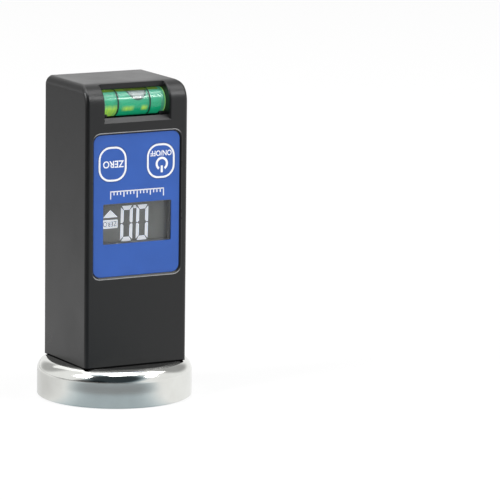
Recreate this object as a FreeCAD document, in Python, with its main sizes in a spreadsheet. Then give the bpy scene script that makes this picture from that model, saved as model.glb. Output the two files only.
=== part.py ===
import FreeCAD, Part
import math
import os
import re
import types

import Sketcher

# Camber caster gauge: a black case with a level vial, a small display and two keys,
# standing on a round steel cup with a ring magnet that grips a wheel hub.
# Millimetres. X is to the right when facing the display, Y runs to the back and Z is up.
# The origin is the centre of the magnet's contact face.

SIZES = (
    ("cup_diameter", 60.0, "steel cup, outside"),
    ("cup_height", 14.4, "steel cup, rim to flat top"),
    ("cup_shoulder", 4.8, "rounding between the cup's side and top"),
    ("cup_wall", 2.3, "steel cup, side wall"),
    ("cup_floor", 2.4, "steel cup, thickness under the case"),
    ("cup_rim_chamfer", 0.4, "chamfer on the cup's contact rim"),
    ("ring_bore", 27.0, "magnet ring, hole"),
    ("ring_chamfer", 0.4, "chamfer on the magnet ring's face edges"),
    ("glue_width", 0.6, "glue line between magnet ring and cup"),
    ("glue_setback", 0.6, "glue line, below the contact face"),
    ("disc_diameter", 24.4, "turned disc at the bottom of the hub recess"),
    ("disc_thickness", 1.4, "turned disc"),
    ("disc_chamfer", 0.5, "turned disc, edge chamfer"),
    ("washer_diameter", 14.0, "spring washer, outside"),
    ("washer_thickness", 1.2, "spring washer"),
    ("washer_split", 1.0, "spring washer, width of the split"),
    ("screw_diameter", 6.0, "hub screw, shank"),
    ("screw_head_diameter", 11.6, "hub screw, domed head"),
    ("screw_head_height", 4.0, "hub screw, domed head"),
    ("screw_head_round", 2.9, "hub screw, rounding of the head"),
    ("screw_point_chamfer", 0.6, "hub screw, end chamfer"),
    ("recess_span", 6.6, "hub screw, cross recess, tip to tip"),
    ("recess_width", 1.5, "hub screw, cross recess, width of an arm"),
    ("recess_depth", 2.4, "hub screw, cross recess"),
    ("screw_clearance", 0.15, "radial room round the hub screw"),
    ("nut_flats", 10.0, "hub nut, across flats"),
    ("nut_thickness", 5.0, "hub nut"),
    ("nut_clearance", 0.1, "room round the hub nut in its pocket"),
    ("nut_boss_wall", 3.2, "wall round the hub nut's pocket"),
    ("nut_thread_room", 0.05, "radial room between hub screw and hub nut"),
    ("nut_overhang", 1.2, "hub screw end beyond the nut"),
    ("body_width", 43.4, "case, left to right"),
    ("body_depth", 36.4, "case, front to back"),
    ("body_height", 108.8, "case, bottom to top"),
    ("side_wall", 2.4, "case, side walls"),
    ("front_wall", 3.6, "case, front wall"),
    ("case_floor", 3.2, "case, bottom wall"),
    ("case_roof", 2.2, "case, top wall"),
    ("edge_round", 1.5, "case, rounding between the front and the side faces"),
    ("brow_round", 8.0, "case, big rounding at the top of the front"),
    ("roof_round", 3.6, "case, rounding between the roof and the side faces"),
    ("roof_lift", 0.2, "case, top of the roof rounding's arc above the flat roof"),
    ("rear_round", 1.3, "case, rounding round the back"),
    ("cheek_width", 7.9, "case, each cheek beside the vial notch"),
    ("notch_rim", 0.7, "rounding of the cheeks' inner edges"),
    ("sill_drop", 14.5, "vial notch, front edge below the case's top"),
    ("sill_run", 1.8, "vial notch, depth of the slanted sill"),
    ("trough_drop", 1.1, "vial notch, trough below the sill's crest"),
    ("trough_slant", 0.8, "vial notch, slanted back of the sill"),
    ("roof_edge", 6.0, "vial notch, roof edge behind the case's front"),
    ("notch_back_wall", 2.0, "wall behind and under the vial notch"),
    ("vial_diameter", 10.2, "level vial, outside"),
    ("vial_end_room", 0.2, "level vial, room at each end"),
    ("vial_setback", 8.0, "level vial, axis behind the case's front"),
    ("vial_drop", 7.85, "level vial, axis below the case's top"),
    ("vial_wall", 1.0, "level vial, tube wall"),
    ("vial_round", 0.5, "level vial, edge rounding at the ends"),
    ("vial_room", 0.1, "room round the vial in its saddles"),
    ("vial_back_room", 0.3, "room between the vial and the back of its notch"),
    ("saddle_width", 2.6, "level vial, each saddle"),
    ("saddle_rise", 4.2, "level vial, saddle's back above the trough"),
    ("saddle_front_rise", 2.1, "level vial, saddle's front above the trough"),
    ("plug_length", 1.7, "level vial, end plugs"),
    ("plug_room", 0.05, "radial room round an end plug"),
    ("line_spacing", 13.6, "level vial, between the two black lines"),
    ("line_width", 0.6, "level vial, each black line"),
    ("line_depth", 0.3, "level vial, groove of a black line"),
    ("bubble_length", 9.0, "level vial, bubble"),
    ("bubble_diameter", 3.2, "level vial, bubble"),
    ("bubble_end_round", 1.5, "level vial, rounding of the bubble's ends"),
    ("bubble_offset", 2.1, "level vial, bubble right of the middle at rest"),
    ("bubble_room", 0.25, "room between bubble and fluid"),
    ("bubble_top_room", 0.05, "room between bubble and tube"),
    ("label_margin", 3.4, "case, beside the blue panel"),
    ("label_height", 54.7, "blue panel"),
    ("label_drop", 19.0, "blue panel, upper edge below the case's top"),
    ("label_corner", 3.0, "blue panel, corner radius"),
    ("label_thickness", 0.5, "blue panel"),
    ("label_recess", 0.6, "blue panel, surface below the case's front"),
    ("label_room", 0.15, "room round the blue panel in its pocket"),
    ("label_rim", 0.5, "chamfer round the panel's pocket"),
    ("window_margin", 3.7, "blue panel, beside the display window"),
    ("window_height", 15.6, "display window"),
    ("window_base", 12.5, "display window, above the panel's lower edge"),
    ("window_shift", 0.4, "display window, right of the middle"),
    ("window_corner", 0.6, "display window, corner radius"),
    ("pane_thickness", 1.0, "clear pane in the display window"),
    ("pane_room", 0.06, "room round the clear pane"),
    ("key_width", 12.0, "key"),
    ("key_height", 13.5, "key"),
    ("key_corner", 5.0, "key, corner radius"),
    ("key_thickness", 1.2, "key"),
    ("key_inset", 8.0, "keys' middles from the panel's side edges"),
    ("key_drop", 11.25, "keys' middle below the panel's upper edge"),
    ("key_room", 0.15, "room round a key"),
    ("key_travel", 0.5, "travel of a key"),
    ("key_spare", 0.1, "room left behind a pressed key"),
    ("plunger_diameter", 3.4, "key plunger"),
    ("plunger_room", 0.35, "radial room round a key plunger"),
    ("plunger_reach", 0.3, "key plunger, length inside the switch"),
    ("switch_side", 6.0, "push switch, square body"),
    ("switch_height", 3.4, "push switch, body"),
    ("switch_well_room", 0.2, "push switch, room behind a pressed plunger"),
    ("switch_edge", 0.4, "push switch, corner chamfer"),
    ("glass_overlap", 2.4, "display glass, above and below the window"),
    ("glass_thickness", 2.8, "display glass, both layers"),
    ("glass_ledge", 1.2, "display glass, contact ledge"),
    ("glass_room", 0.1, "room round the display glass in its frame"),
    ("frame_wall", 1.5, "display frame, wall"),
    ("frame_side_room", 0.3, "room between the display frame and the case's side"),
    ("connector_inset", 1.0, "display connector strip, ends from the glass's ends"),
    ("connector_section", 2.0, "display connector strip, height and depth"),
    ("board_side_room", 1.1, "room between the circuit board and the case's sides"),
    ("board_drop", 20.4, "circuit board, upper edge below the case's top"),
    ("board_base", 16.4, "circuit board, lower edge above the case's bottom"),
    ("board_thickness", 1.6, "circuit board"),
    ("board_corner", 1.5, "circuit board, corner chamfer"),
    ("board_hole_inset", 3.0, "circuit board, holes from the edges"),
    ("board_boss_diameter", 5.0, "boss under the circuit board"),
    ("board_screw_diameter", 2.0, "circuit board screw, shank"),
    ("board_screw_length", 4.0, "circuit board screw, below the board"),
    ("board_screw_head", 3.8, "circuit board screw, head diameter"),
    ("board_head_height", 1.3, "circuit board screw, head"),
    ("small_screw_room", 0.1, "radial room round a small screw"),
    ("sensor_width", 11.2, "tilt sensor"),
    ("sensor_height", 9.0, "tilt sensor"),
    ("sensor_thickness", 3.2, "tilt sensor"),
    ("sensor_base", 4.0, "tilt sensor, above the board's lower edge"),
    ("chip_side", 10.0, "controller chip"),
    ("chip_thickness", 1.6, "controller chip"),
    ("chip_base", 44.0, "controller chip, above the board's lower edge"),
    ("chip_edge", 0.3, "chip edge chamfer"),
    ("crystal_length", 9.0, "clock crystal, can length"),
    ("crystal_diameter", 3.0, "clock crystal, can diameter"),
    ("crystal_side", 11.0, "clock crystal, right of the middle"),
    ("cover_thickness", 2.2, "rear cover"),
    ("cover_ledge", 1.0, "ledge in the case behind the rear cover"),
    ("cover_room", 0.1, "room round the rear cover"),
    ("cover_corner", 1.5, "rear cover, corner radius"),
    ("post_diameter", 7.0, "screw post for the rear cover"),
    ("post_inset", 4.2, "screw post from the rear cover's edges"),
    ("cover_screw_diameter", 2.5, "rear cover screw, shank"),
    ("cover_screw_length", 8.0, "rear cover screw, in the post"),
    ("cover_screw_head", 4.7, "rear cover screw, countersunk head"),
    ("pilot_spare", 0.5, "screw hole beyond a small screw's end"),
    ("cell_diameter", 10.4, "battery cell"),
    ("cell_length", 43.6, "battery cell, without its tip"),
    ("cell_round", 0.6, "battery cell, edge rounding"),
    ("cell_tip_diameter", 3.8, "battery cell, positive tip"),
    ("cell_tip_height", 0.9, "battery cell, positive tip"),
    ("cell_spacing", 11.4, "between the two cells' axes"),
    ("cell_side_room", 0.3, "room beside the cells"),
    ("cell_back_room", 0.4, "room between the cells and the rear cover"),
    ("well_wall", 1.2, "battery well, walls"),
    ("post_room", 0.3, "room between the lower screw posts and the battery well"),
    ("well_rib", 2.6, "battery well, rise of the rib between the cells"),
    ("well_rib_thickness", 0.6, "battery well, thickness of the rib"),
    ("well_rib_length", 16.5, "battery well, length of the rib"),
    ("contact_side", 8.6, "battery contact plate"),
    ("contact_thickness", 0.4, "battery contact plate"),
    ("spring_length", 4.6, "battery spring, as fitted"),
    ("spring_wire", 0.6, "battery spring, wire"),
    ("spring_base_radius", 3.4, "battery spring, wide end"),
    ("spring_tip_radius", 2.0, "battery spring, narrow end"),
    ("door_thickness", 1.4, "battery door"),
    ("door_lap", 1.4, "battery door, lap over the opening"),
    ("door_room", 0.12, "room round the battery door"),
    ("door_corner", 1.5, "battery door, corner radius"),
    ("door_skirt", 1.2, "battery door, skirt in the opening"),
    ("door_skirt_wall", 0.9, "battery door, skirt wall"),
    ("scoop_radius", 6.0, "battery door, thumb scoop"),
    ("scoop_depth", 0.7, "battery door, thumb scoop"),
    ("grip_length", 14.0, "battery door, grip rib"),
    ("grip_width", 0.9, "battery door, grip rib"),
    ("grip_rise", 0.35, "battery door, grip rib"),
    ("grip_pitch", 2.0, "battery door, between grip ribs"),
)

SPRING_TURNS = 4
SPRING_STEPS = 10
UPWARD = FreeCAD.Vector(0, 0, 1)

document = FreeCAD.newDocument("CamberCasterGauge")


class Length:
    """A number of millimetres together with the sheet formula that gives it."""

    def __init__(self, number, formula):
        self.number = number
        self.formula = formula

    def __add__(self, other):
        other = as_length(other)
        return Length(self.number + other.number, f"({self.formula} + {other.formula})")

    def __sub__(self, other):
        other = as_length(other)
        return Length(self.number - other.number, f"({self.formula} - {other.formula})")

    def __mul__(self, factor):
        return Length(self.number * factor, f"({self.formula} * {factor:.12g})")

    def __truediv__(self, divisor):
        return Length(self.number / divisor, f"({self.formula} / {divisor:.12g})")

    def __neg__(self):
        return Length(-self.number, f"(-1 * {self.formula})")

    __radd__ = __add__
    __rmul__ = __mul__

    def __rsub__(self, other):
        return as_length(other) - self


def as_length(value):
    if isinstance(value, Length):
        return value
    return Length(float(value), f"{float(value):.12g}")


def make_sheet():
    """Write the driving sizes into the sheet and return them by name."""
    sheet = document.addObject("Spreadsheet::Sheet", "Sizes")
    lengths = types.SimpleNamespace()
    for row, (name, number, note) in enumerate(SIZES, start=1):
        sheet.set(f"A{row}", note)
        sheet.set(f"B{row}", str(number))
        sheet.setAlias(f"B{row}", name)
        setattr(lengths, name, Length(number, f"Sizes.{name}"))
    document.recompute()
    return lengths


size = make_sheet()

# Planes and middles that several pieces share
FRONT = -size.body_depth / 2
BACK = size.body_depth / 2
CASE_BASE = size.cup_height
CUP_CEILING = size.cup_height - size.cup_floor
WALL_BACK = FRONT + size.front_wall
LABEL_FACE = FRONT + size.label_recess
LABEL_BACK = LABEL_FACE + size.label_thickness
LABEL_WIDTH = size.body_width - size.label_margin * 2
LABEL_BOTTOM = CASE_BASE + size.body_height - size.label_drop - size.label_height
LABEL_MIDDLE = LABEL_BOTTOM + size.label_height / 2
WINDOW_WIDTH = LABEL_WIDTH - size.window_margin * 2
WINDOW_MIDDLE = LABEL_BOTTOM + size.window_base + size.window_height / 2
KEY_SIDE = LABEL_WIDTH / 2 - size.key_inset
KEY_MIDDLE = LABEL_BOTTOM + size.label_height - size.key_drop
INSIDE_WIDTH = size.body_width - size.side_wall * 2
FRAME_WIDTH = INSIDE_WIDTH - size.window_shift * 2 - size.frame_side_room * 2
GLASS_WIDTH = FRAME_WIDTH - size.frame_wall * 2 - size.glass_room * 2
GLASS_HEIGHT = size.window_height + size.glass_overlap * 2
BOARD_FRONT = WALL_BACK + size.glass_thickness + size.connector_section
BOARD_BACK = BOARD_FRONT + size.board_thickness
BOARD_WIDTH = INSIDE_WIDTH - size.board_side_room * 2
BOARD_HEIGHT = size.body_height - size.board_base - size.board_drop
BOARD_BOTTOM = CASE_BASE + size.board_base
BOARD_MIDDLE = BOARD_BOTTOM + BOARD_HEIGHT / 2
COVER_INSIDE = BACK - size.cover_thickness
NOTCH_WIDTH = size.body_width - size.cheek_width * 2
VIAL_LENGTH = NOTCH_WIDTH - size.vial_end_room * 2
VIAL_Y = FRONT + size.vial_setback
VIAL_HEIGHT = size.body_height - size.vial_drop
VIAL_Z = CASE_BASE + VIAL_HEIGHT
VIAL_BORE = size.vial_diameter - size.vial_wall * 2
SILL_EDGE = size.body_height - size.sill_drop
SILL_Z = SILL_EDGE + size.sill_run
TROUGH_Z = SILL_Z - size.trough_drop
NOTCH_BACK = FRONT + size.vial_setback + size.vial_diameter / 2 + size.vial_back_room
CAVITY_TOP = size.body_height - size.case_roof
CELL_Y = COVER_INSIDE - size.cell_back_room - size.cell_diameter / 2
WELL_WIDTH = size.cell_spacing + size.cell_diameter + size.cell_side_room * 2
WELL_HEIGHT = size.cell_length + size.cell_tip_height + size.spring_length + size.contact_thickness * 2
COVER_WIDTH = INSIDE_WIDTH + size.cover_ledge * 2 - size.cover_room * 2
COVER_HEIGHT = CAVITY_TOP - size.case_floor + size.cover_ledge - size.cover_room * 2
COVER_MIDDLE = CASE_BASE + (CAVITY_TOP + size.case_floor - size.cover_ledge) / 2
POST_TOP = COVER_MIDDLE - COVER_HEIGHT / 2 + size.post_inset + size.post_diameter / 2
WELL_BOTTOM = POST_TOP + size.post_room + size.well_wall
WELL_MIDDLE = WELL_BOTTOM + WELL_HEIGHT / 2
WELL_FLOOR_Y = CELL_Y - size.cell_diameter / 2 - size.cell_side_room
DISC_FACE = CUP_CEILING - size.disc_thickness
WASHER_FACE = DISC_FACE - size.washer_thickness
HEAD_FACE = WASHER_FACE - size.screw_head_height
SCREW_END = CASE_BASE + size.case_floor + size.nut_thickness + size.nut_overhang


def bind(thing, path, length):
    """Tie one property to the sheet."""
    thing.setExpression(path, as_length(length).formula)


def place(thing, x=0, y=0, z=0):
    """Put a sub-part at its own place, tied to the sheet."""
    for axis, length in zip("xyz", (x, y, z)):
        bind(thing, f".Placement.Base.{axis}", length)


def new_body(label, x=0, y=0, z=0):
    body = document.addObject("PartDesign::Body", label)
    body.Label = label
    place(body, x, y, z)
    return body


def new_sketch(body, name, plane, x=0, y=0, level=0):
    """Sketch on one of the body's own planes, with its middle at x, y and raised by level."""
    sketch = body.newObject("Sketcher::SketchObject", name)
    origin_plane = [item for item in body.Origin.OriginFeatures if item.Role == plane][0]
    sketch.AttachmentSupport = [(origin_plane, "")]
    sketch.MapMode = "FlatFace"
    for axis, length in zip("xyz", (x, y, level)):
        bind(sketch, f".AttachmentOffset.Base.{axis}", length)
    return sketch


def hold_point(sketch, geometry, position, x, y):
    """Tie one point of a sketch to its distances from the sketch's middle."""
    for kind, axis, length in (("DistanceX", -2, as_length(x)), ("DistanceY", -1, as_length(y))):
        if length.formula == "0":
            sketch.addConstraint(Sketcher.Constraint("PointOnObject", geometry, position, axis))
        else:
            constraint = Sketcher.Constraint(kind, -1, 1, geometry, position, length.number)
            index = sketch.addConstraint(constraint)
            bind(sketch, f"Constraints[{index}]", length)


def outline(sketch, corners):
    """Closed outline of straight sides through the corners."""
    points = [
        FreeCAD.Vector(as_length(x).number, as_length(y).number, 0)
        for x, y in corners
    ]
    count = len(points)
    first = sketch.GeometryCount
    for index in range(count):
        sketch.addGeometry(Part.LineSegment(points[index], points[(index + 1) % count]))
    for index in range(count):
        following = first + (index + 1) % count
        sketch.addConstraint(Sketcher.Constraint("Coincident", first + index, 2, following, 1))
    for index, (x, y) in enumerate(corners):
        hold_point(sketch, first + index, 1, x, y)


def rectangle(sketch, width, height):
    """Rectangle about the sketch's middle."""
    x = as_length(width) / 2
    y = as_length(height) / 2
    outline(sketch, ((-x, -y), (x, -y), (x, y), (-x, y)))


def round_rectangle(sketch, width, height, radius):
    """Rectangle with round corners about the sketch's middle."""
    width, height, radius = as_length(width), as_length(height), as_length(radius)
    half_x, half_y, r = width.number / 2, height.number / 2, radius.number
    vector = FreeCAD.Vector
    first = sketch.GeometryCount
    inner_x, inner_y = half_x - r, half_y - r
    centres = ((inner_x, inner_y), (-inner_x, inner_y), (-inner_x, -inner_y), (inner_x, -inner_y))
    for quarter, (x, y) in enumerate(centres):
        circle = Part.Circle(vector(x, y, 0), vector(0, 0, 1), r)
        start = quarter * math.pi / 2
        sketch.addGeometry(Part.ArcOfCircle(circle, start, start + math.pi / 2))
    ends = [
        (vector(inner_x, half_y, 0), vector(-inner_x, half_y, 0)),
        (vector(-half_x, inner_y, 0), vector(-half_x, -inner_y, 0)),
        (vector(-inner_x, -half_y, 0), vector(inner_x, -half_y, 0)),
        (vector(half_x, -inner_y, 0), vector(half_x, inner_y, 0)),
    ]
    for start, end in ends:
        sketch.addGeometry(Part.LineSegment(start, end))
    top, left, bottom, right = (first + 4, first + 5, first + 6, first + 7)
    sides = (top, left, bottom, right)
    for quarter in range(4):
        arc = first + quarter
        sketch.addConstraint(Sketcher.Constraint("Tangent", arc, 2, sides[quarter], 1))
        sketch.addConstraint(Sketcher.Constraint("Tangent", sides[quarter], 2, first + (quarter + 1) % 4, 1))
    for side in (top, bottom):
        sketch.addConstraint(Sketcher.Constraint("Horizontal", side))
    for side in (left, right):
        sketch.addConstraint(Sketcher.Constraint("Vertical", side))
    for quarter in range(1, 4):
        sketch.addConstraint(Sketcher.Constraint("Equal", first, first + quarter))
    index = sketch.addConstraint(Sketcher.Constraint("Radius", first, r))
    bind(sketch, f"Constraints[{index}]", radius)
    reaches = (
        ("DistanceX", right, width / 2),
        ("DistanceX", left, -width / 2),
        ("DistanceY", top, height / 2),
        ("DistanceY", bottom, -height / 2),
    )
    for kind, side, half in reaches:
        constraint = Sketcher.Constraint(kind, -1, 1, side, 1, half.number)
        index = sketch.addConstraint(constraint)
        bind(sketch, f"Constraints[{index}]", half)


def circle(sketch, diameter, x=0, y=0):
    """Circle with its middle at x, y."""
    centre = FreeCAD.Vector(as_length(x).number, as_length(y).number, 0)
    radius = as_length(diameter).number / 2
    index = sketch.addGeometry(Part.Circle(centre, FreeCAD.Vector(0, 0, 1), radius))
    hold_point(sketch, index, 3, x, y)
    constraint = sketch.addConstraint(Sketcher.Constraint("Diameter", index, radius * 2))
    bind(sketch, f"Constraints[{constraint}]", diameter)


def extrude(body, kind, sketch, length, reverse=False, both_ways=False):
    feature = body.newObject(f"PartDesign::{kind}", f"{sketch.Name}_{kind.lower()}")
    feature.Profile = sketch
    feature.Type = "Length"
    feature.SideType = "Symmetric" if both_ways else "One side"
    bind(feature, "Length", length)
    feature.Reversed = reverse
    sketch.Visibility = False
    before = volume_of(feature.BaseFeature)
    document.recompute()
    require_change(feature, kind, before)
    return feature


def volume_of(feature):
    return feature.Shape.Volume if feature else 0.0


def require_change(feature, kind, before):
    """A pad has to add material and a cut has to take some away."""
    change = feature.Shape.Volume - before
    grows = kind in ("Pad", "Revolution")
    if (change if grows else -change) < 1e-3:
        raise ValueError(f"{feature.Name} changes nothing")


def pad(body, sketch, length, reverse=False, both_ways=False):
    return extrude(body, "Pad", sketch, length, reverse, both_ways)


def pocket(body, sketch, length, reverse=False, both_ways=False):
    return extrude(body, "Pocket", sketch, length, reverse, both_ways)


def turn(body, sketch, kind="Revolution", axis="V_Axis"):
    """Full turn of a sketch about one of its own axes."""
    feature = body.newObject(f"PartDesign::{kind}", f"{sketch.Name}_{kind.lower()}")
    feature.Profile = sketch
    feature.ReferenceAxis = (sketch, [axis])
    feature.Angle = 360
    sketch.Visibility = False
    before = volume_of(feature.BaseFeature)
    document.recompute()
    require_change(feature, kind, before)
    return feature


def chosen_edges(feature, test):
    """Names of the feature's edges for which the test holds."""
    names = [f"Edge{index}" for index, edge in enumerate(feature.Shape.Edges, start=1) if test(edge)]
    if not names:
        raise ValueError(f"no edge chosen on {feature.Name}")
    return names


def dress(body, kind, name, test, length):
    """Fillet or chamfer on the chosen edges of the body's last feature."""
    base = body.Tip
    feature = body.newObject(f"PartDesign::{kind}", name)
    feature.Base = (base, chosen_edges(base, test))
    bind(feature, "Radius" if kind == "Fillet" else "Size", length)
    document.recompute()
    return feature


def near(first, second, tolerance=1e-4):
    return abs(first - second) < tolerance


def box_of(edge):
    return edge.BoundBox


def ring_at(radius, z):
    """Test for a circle about the body's Z axis."""
    def test(edge):
        box = box_of(edge)
        level = near(box.ZLength, 0) and near(box.ZMin, z.number)
        return level and near(box.XLength / 2, radius.number, 1e-3)
    return test


def flat_edge(axis, level):
    """Test for an edge that lies in the plane axis = level."""
    def test(edge):
        box = box_of(edge)
        return near(getattr(box, f"{axis}Length"), 0) and near(getattr(box, f"{axis}Min"), level.number)
    return test


def group(label, members):
    """Several equal solids that share one node."""
    compound = document.addObject("Part::Compound", label)
    compound.Label = label
    compound.Links = members
    return compound


def cylinder(name, diameter, length, axis="Z", x=0, y=0, z=0):
    """Round bar that starts at x, y, z and runs along the axis."""
    bar = document.addObject("Part::Cylinder", name)
    bind(bar, "Radius", as_length(diameter) / 2)
    bind(bar, "Height", length)
    turns = {"Z": (0, 0, 1, 0), "Y": (1, 0, 0, -90), "X": (0, 1, 0, 90)}
    ax, ay, az, angle = turns[axis]
    bar.Placement = FreeCAD.Placement(FreeCAD.Vector(), FreeCAD.Rotation(FreeCAD.Vector(ax, ay, az), angle))
    place(bar, x, y, z)
    return bar


def block(name, length, width, height, x, y, z):
    """Box centred on x, y, z."""
    length, width, height = as_length(length), as_length(width), as_length(height)
    box = document.addObject("Part::Box", name)
    bind(box, "Length", length)
    bind(box, "Width", width)
    bind(box, "Height", height)
    place(box, as_length(x) - length / 2, as_length(y) - width / 2, as_length(z) - height / 2)
    return box


def magnet_cup():
    """Deep-drawn steel cup, open towards the wheel hub."""
    radius = size.cup_diameter / 2
    bore = radius - size.cup_wall
    hole = size.screw_diameter / 2 + size.screw_clearance
    body = new_body("magnet_cup")
    section = new_sketch(body, "cup_section", "XZ_Plane")
    outline(section, (
        (hole, size.cup_height),
        (radius, size.cup_height),
        (radius, 0),
        (bore, 0),
        (bore, CUP_CEILING),
        (hole, CUP_CEILING),
    ))
    turn(body, section)
    dress(body, "Fillet", "cup_shoulder_round", ring_at(radius, size.cup_height), size.cup_shoulder)
    rims = (ring_at(radius, as_length(0)), ring_at(bore, as_length(0)))
    dress(body, "Chamfer", "cup_rim", lambda edge: any(rim(edge) for rim in rims), size.cup_rim_chamfer)
    return body


def magnet_ring():
    """Ferrite ring that fills the cup and leaves the hub recess open."""
    radius = size.cup_diameter / 2 - size.cup_wall - size.glue_width
    bore = size.ring_bore / 2
    body = new_body("magnet_ring")
    section = new_sketch(body, "ring_section", "XZ_Plane")
    outline(section, ((bore, 0), (radius, 0), (radius, CUP_CEILING), (bore, CUP_CEILING)))
    turn(body, section)
    rims = (ring_at(radius, as_length(0)), ring_at(bore, as_length(0)))
    dress(body, "Chamfer", "ring_face", lambda edge: any(rim(edge) for rim in rims), size.ring_chamfer)
    return body


def magnet_glue():
    """Glue line between the ferrite ring and the cup."""
    outer = size.cup_diameter / 2 - size.cup_wall
    inner = outer - size.glue_width
    body = new_body("magnet_glue")
    section = new_sketch(body, "glue_section", "XZ_Plane")
    outline(section, (
        (inner, size.glue_setback),
        (outer, size.glue_setback),
        (outer, CUP_CEILING),
        (inner, CUP_CEILING),
    ))
    turn(body, section)
    return body


def hub_disc():
    """Turned disc at the bottom of the hub recess."""
    hole = size.screw_diameter / 2 + size.screw_clearance
    radius = size.disc_diameter / 2
    body = new_body("hub_disc")
    section = new_sketch(body, "disc_section", "XZ_Plane")
    outline(section, ((hole, DISC_FACE), (radius, DISC_FACE), (radius, CUP_CEILING), (hole, CUP_CEILING)))
    turn(body, section)
    dress(body, "Chamfer", "disc_edge", ring_at(radius, DISC_FACE), size.disc_chamfer)
    return body


def hub_washer():
    """Split spring washer under the hub screw's head."""
    hole = size.screw_diameter / 2 + size.screw_clearance
    radius = size.washer_diameter / 2
    body = new_body("hub_washer")
    section = new_sketch(body, "washer_section", "XZ_Plane")
    outline(section, ((hole, WASHER_FACE), (radius, WASHER_FACE), (radius, DISC_FACE), (hole, DISC_FACE)))
    turn(body, section)
    split = new_sketch(body, "washer_split_outline", "XY_Plane", level=WASHER_FACE)
    half = size.washer_split / 2
    outline(split, ((0, -half), (radius + half, -half), (radius + half, half), (0, half)))
    pocket(body, split, size.washer_thickness, reverse=True)
    return body


def hub_screw():
    """Domed cross-recess screw that holds the cup to the case."""
    shank = size.screw_diameter / 2
    head = size.screw_head_diameter / 2
    body = new_body("hub_screw")
    section = new_sketch(body, "screw_section", "XZ_Plane")
    outline(section, (
        (0, HEAD_FACE),
        (head, HEAD_FACE),
        (head, WASHER_FACE),
        (shank, WASHER_FACE),
        (shank, SCREW_END),
        (0, SCREW_END),
    ))
    turn(body, section)
    dress(body, "Fillet", "screw_dome", ring_at(head, HEAD_FACE), size.screw_head_round)
    dress(body, "Chamfer", "screw_point", ring_at(shank, SCREW_END), size.screw_point_chamfer)
    recess = new_sketch(body, "recess_outline", "XY_Plane", level=HEAD_FACE)
    tip = size.recess_span / 2
    arm = size.recess_width / 2
    outline(recess, (
        (tip, -arm), (tip, arm), (arm, arm), (arm, tip),
        (-arm, tip), (-arm, arm), (-tip, arm), (-tip, -arm),
        (-arm, -arm), (-arm, -tip), (arm, -tip), (arm, -arm),
    ))
    pocket(body, recess, size.recess_depth, reverse=True)
    return body


def hexagon(sketch, flats):
    """Hexagon about the sketch's middle, flats left and right."""
    reach = flats / math.sqrt(3)
    corners = [math.radians(30 + 60 * step) for step in range(6)]
    outline(sketch, [(reach * math.cos(angle), reach * math.sin(angle)) for angle in corners])


def hub_nut():
    """Nut caught in the case's bottom."""
    body = new_body("hub_nut", z=CASE_BASE + size.case_floor)
    shape = new_sketch(body, "nut_outline", "XY_Plane")
    hexagon(shape, size.nut_flats)
    circle(shape, size.screw_diameter + size.nut_thread_room * 2)
    pad(body, shape, size.nut_thickness)
    return body


def case_block(body):
    """Outer block of the case with its big front brow, round-sided roof and soft edges."""
    side = new_sketch(body, "side_profile", "YZ_Plane")
    outline(side, ((FRONT, 0), (BACK, 0), (BACK, size.body_height), (FRONT, size.body_height)))
    pad(body, side, size.body_width, both_ways=True)

    def front_top(edge):
        return flat_edge("Z", size.body_height)(edge) and flat_edge("Y", FRONT)(edge)

    dress(body, "Fillet", "brow", front_top, size.brow_round)
    roof = new_sketch(body, "roof_profile", "XZ_Plane")
    rectangle(roof, size.body_width * 2, size.body_height * 3)
    round_rectangle(roof, size.body_width, (size.body_height + size.roof_lift) * 2, size.roof_round)
    pocket(body, roof, size.body_depth * 2, both_ways=True)
    half = size.body_width / 2

    def front_upright(edge):
        on_side = flat_edge("X", half)(edge) or flat_edge("X", -half)(edge)
        return on_side and flat_edge("Y", FRONT)(edge)

    def back_rim(edge):
        return flat_edge("Y", BACK)(edge) and not flat_edge("Z", as_length(0))(edge)

    dress(body, "Fillet", "front_edges", front_upright, size.edge_round)
    dress(body, "Fillet", "back_edges", back_rim, size.rear_round)


def vial_notch(body):
    """Notch between the cheeks with its slanted sill, trough, roof and saddles."""
    above = size.body_height + size.notch_back_wall
    ahead = FRONT - size.sill_run
    notch = new_sketch(body, "notch_profile", "YZ_Plane")
    outline(notch, (
        (ahead, SILL_EDGE - size.sill_run),
        (FRONT + size.sill_run, SILL_Z),
        (FRONT + size.sill_run + size.trough_slant, TROUGH_Z),
        (NOTCH_BACK, TROUGH_Z),
        (NOTCH_BACK, CAVITY_TOP),
        (FRONT + size.roof_edge, CAVITY_TOP),
        (FRONT + size.roof_edge, above),
        (ahead, above),
    ))
    pocket(body, notch, NOTCH_WIDTH, both_ways=True)
    half = NOTCH_WIDTH / 2

    def cheek_rim(edge):
        box = box_of(edge)
        on_cheek = flat_edge("X", half)(edge) or flat_edge("X", -half)(edge)
        outside = box.YMax < (FRONT + size.roof_edge).number + 1e-3
        above_sill = box.ZMax > SILL_Z.number + 1e-3
        return on_cheek and outside and above_sill

    for label, side in (("left", -1), ("right", 1)):
        level = half * side
        saddle = new_sketch(body, f"{label}_saddle_profile", "YZ_Plane", level=level)
        reach = size.vial_diameter / 2 - size.vial_wall
        middle = FRONT + size.vial_setback
        outline(saddle, (
            (middle - reach, TROUGH_Z),
            (NOTCH_BACK, TROUGH_Z),
            (NOTCH_BACK, TROUGH_Z + size.saddle_rise),
            (middle - reach, TROUGH_Z + size.saddle_front_rise),
        ))
        pad(body, saddle, size.saddle_width, reverse=side > 0)
    seat = new_sketch(body, "vial_seat", "YZ_Plane")
    circle(seat, size.vial_diameter + size.vial_room * 2, FRONT + size.vial_setback, VIAL_HEIGHT)
    pocket(body, seat, NOTCH_WIDTH, both_ways=True)
    dress(body, "Fillet", "cheek_rims", cheek_rim, size.notch_rim)


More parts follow.
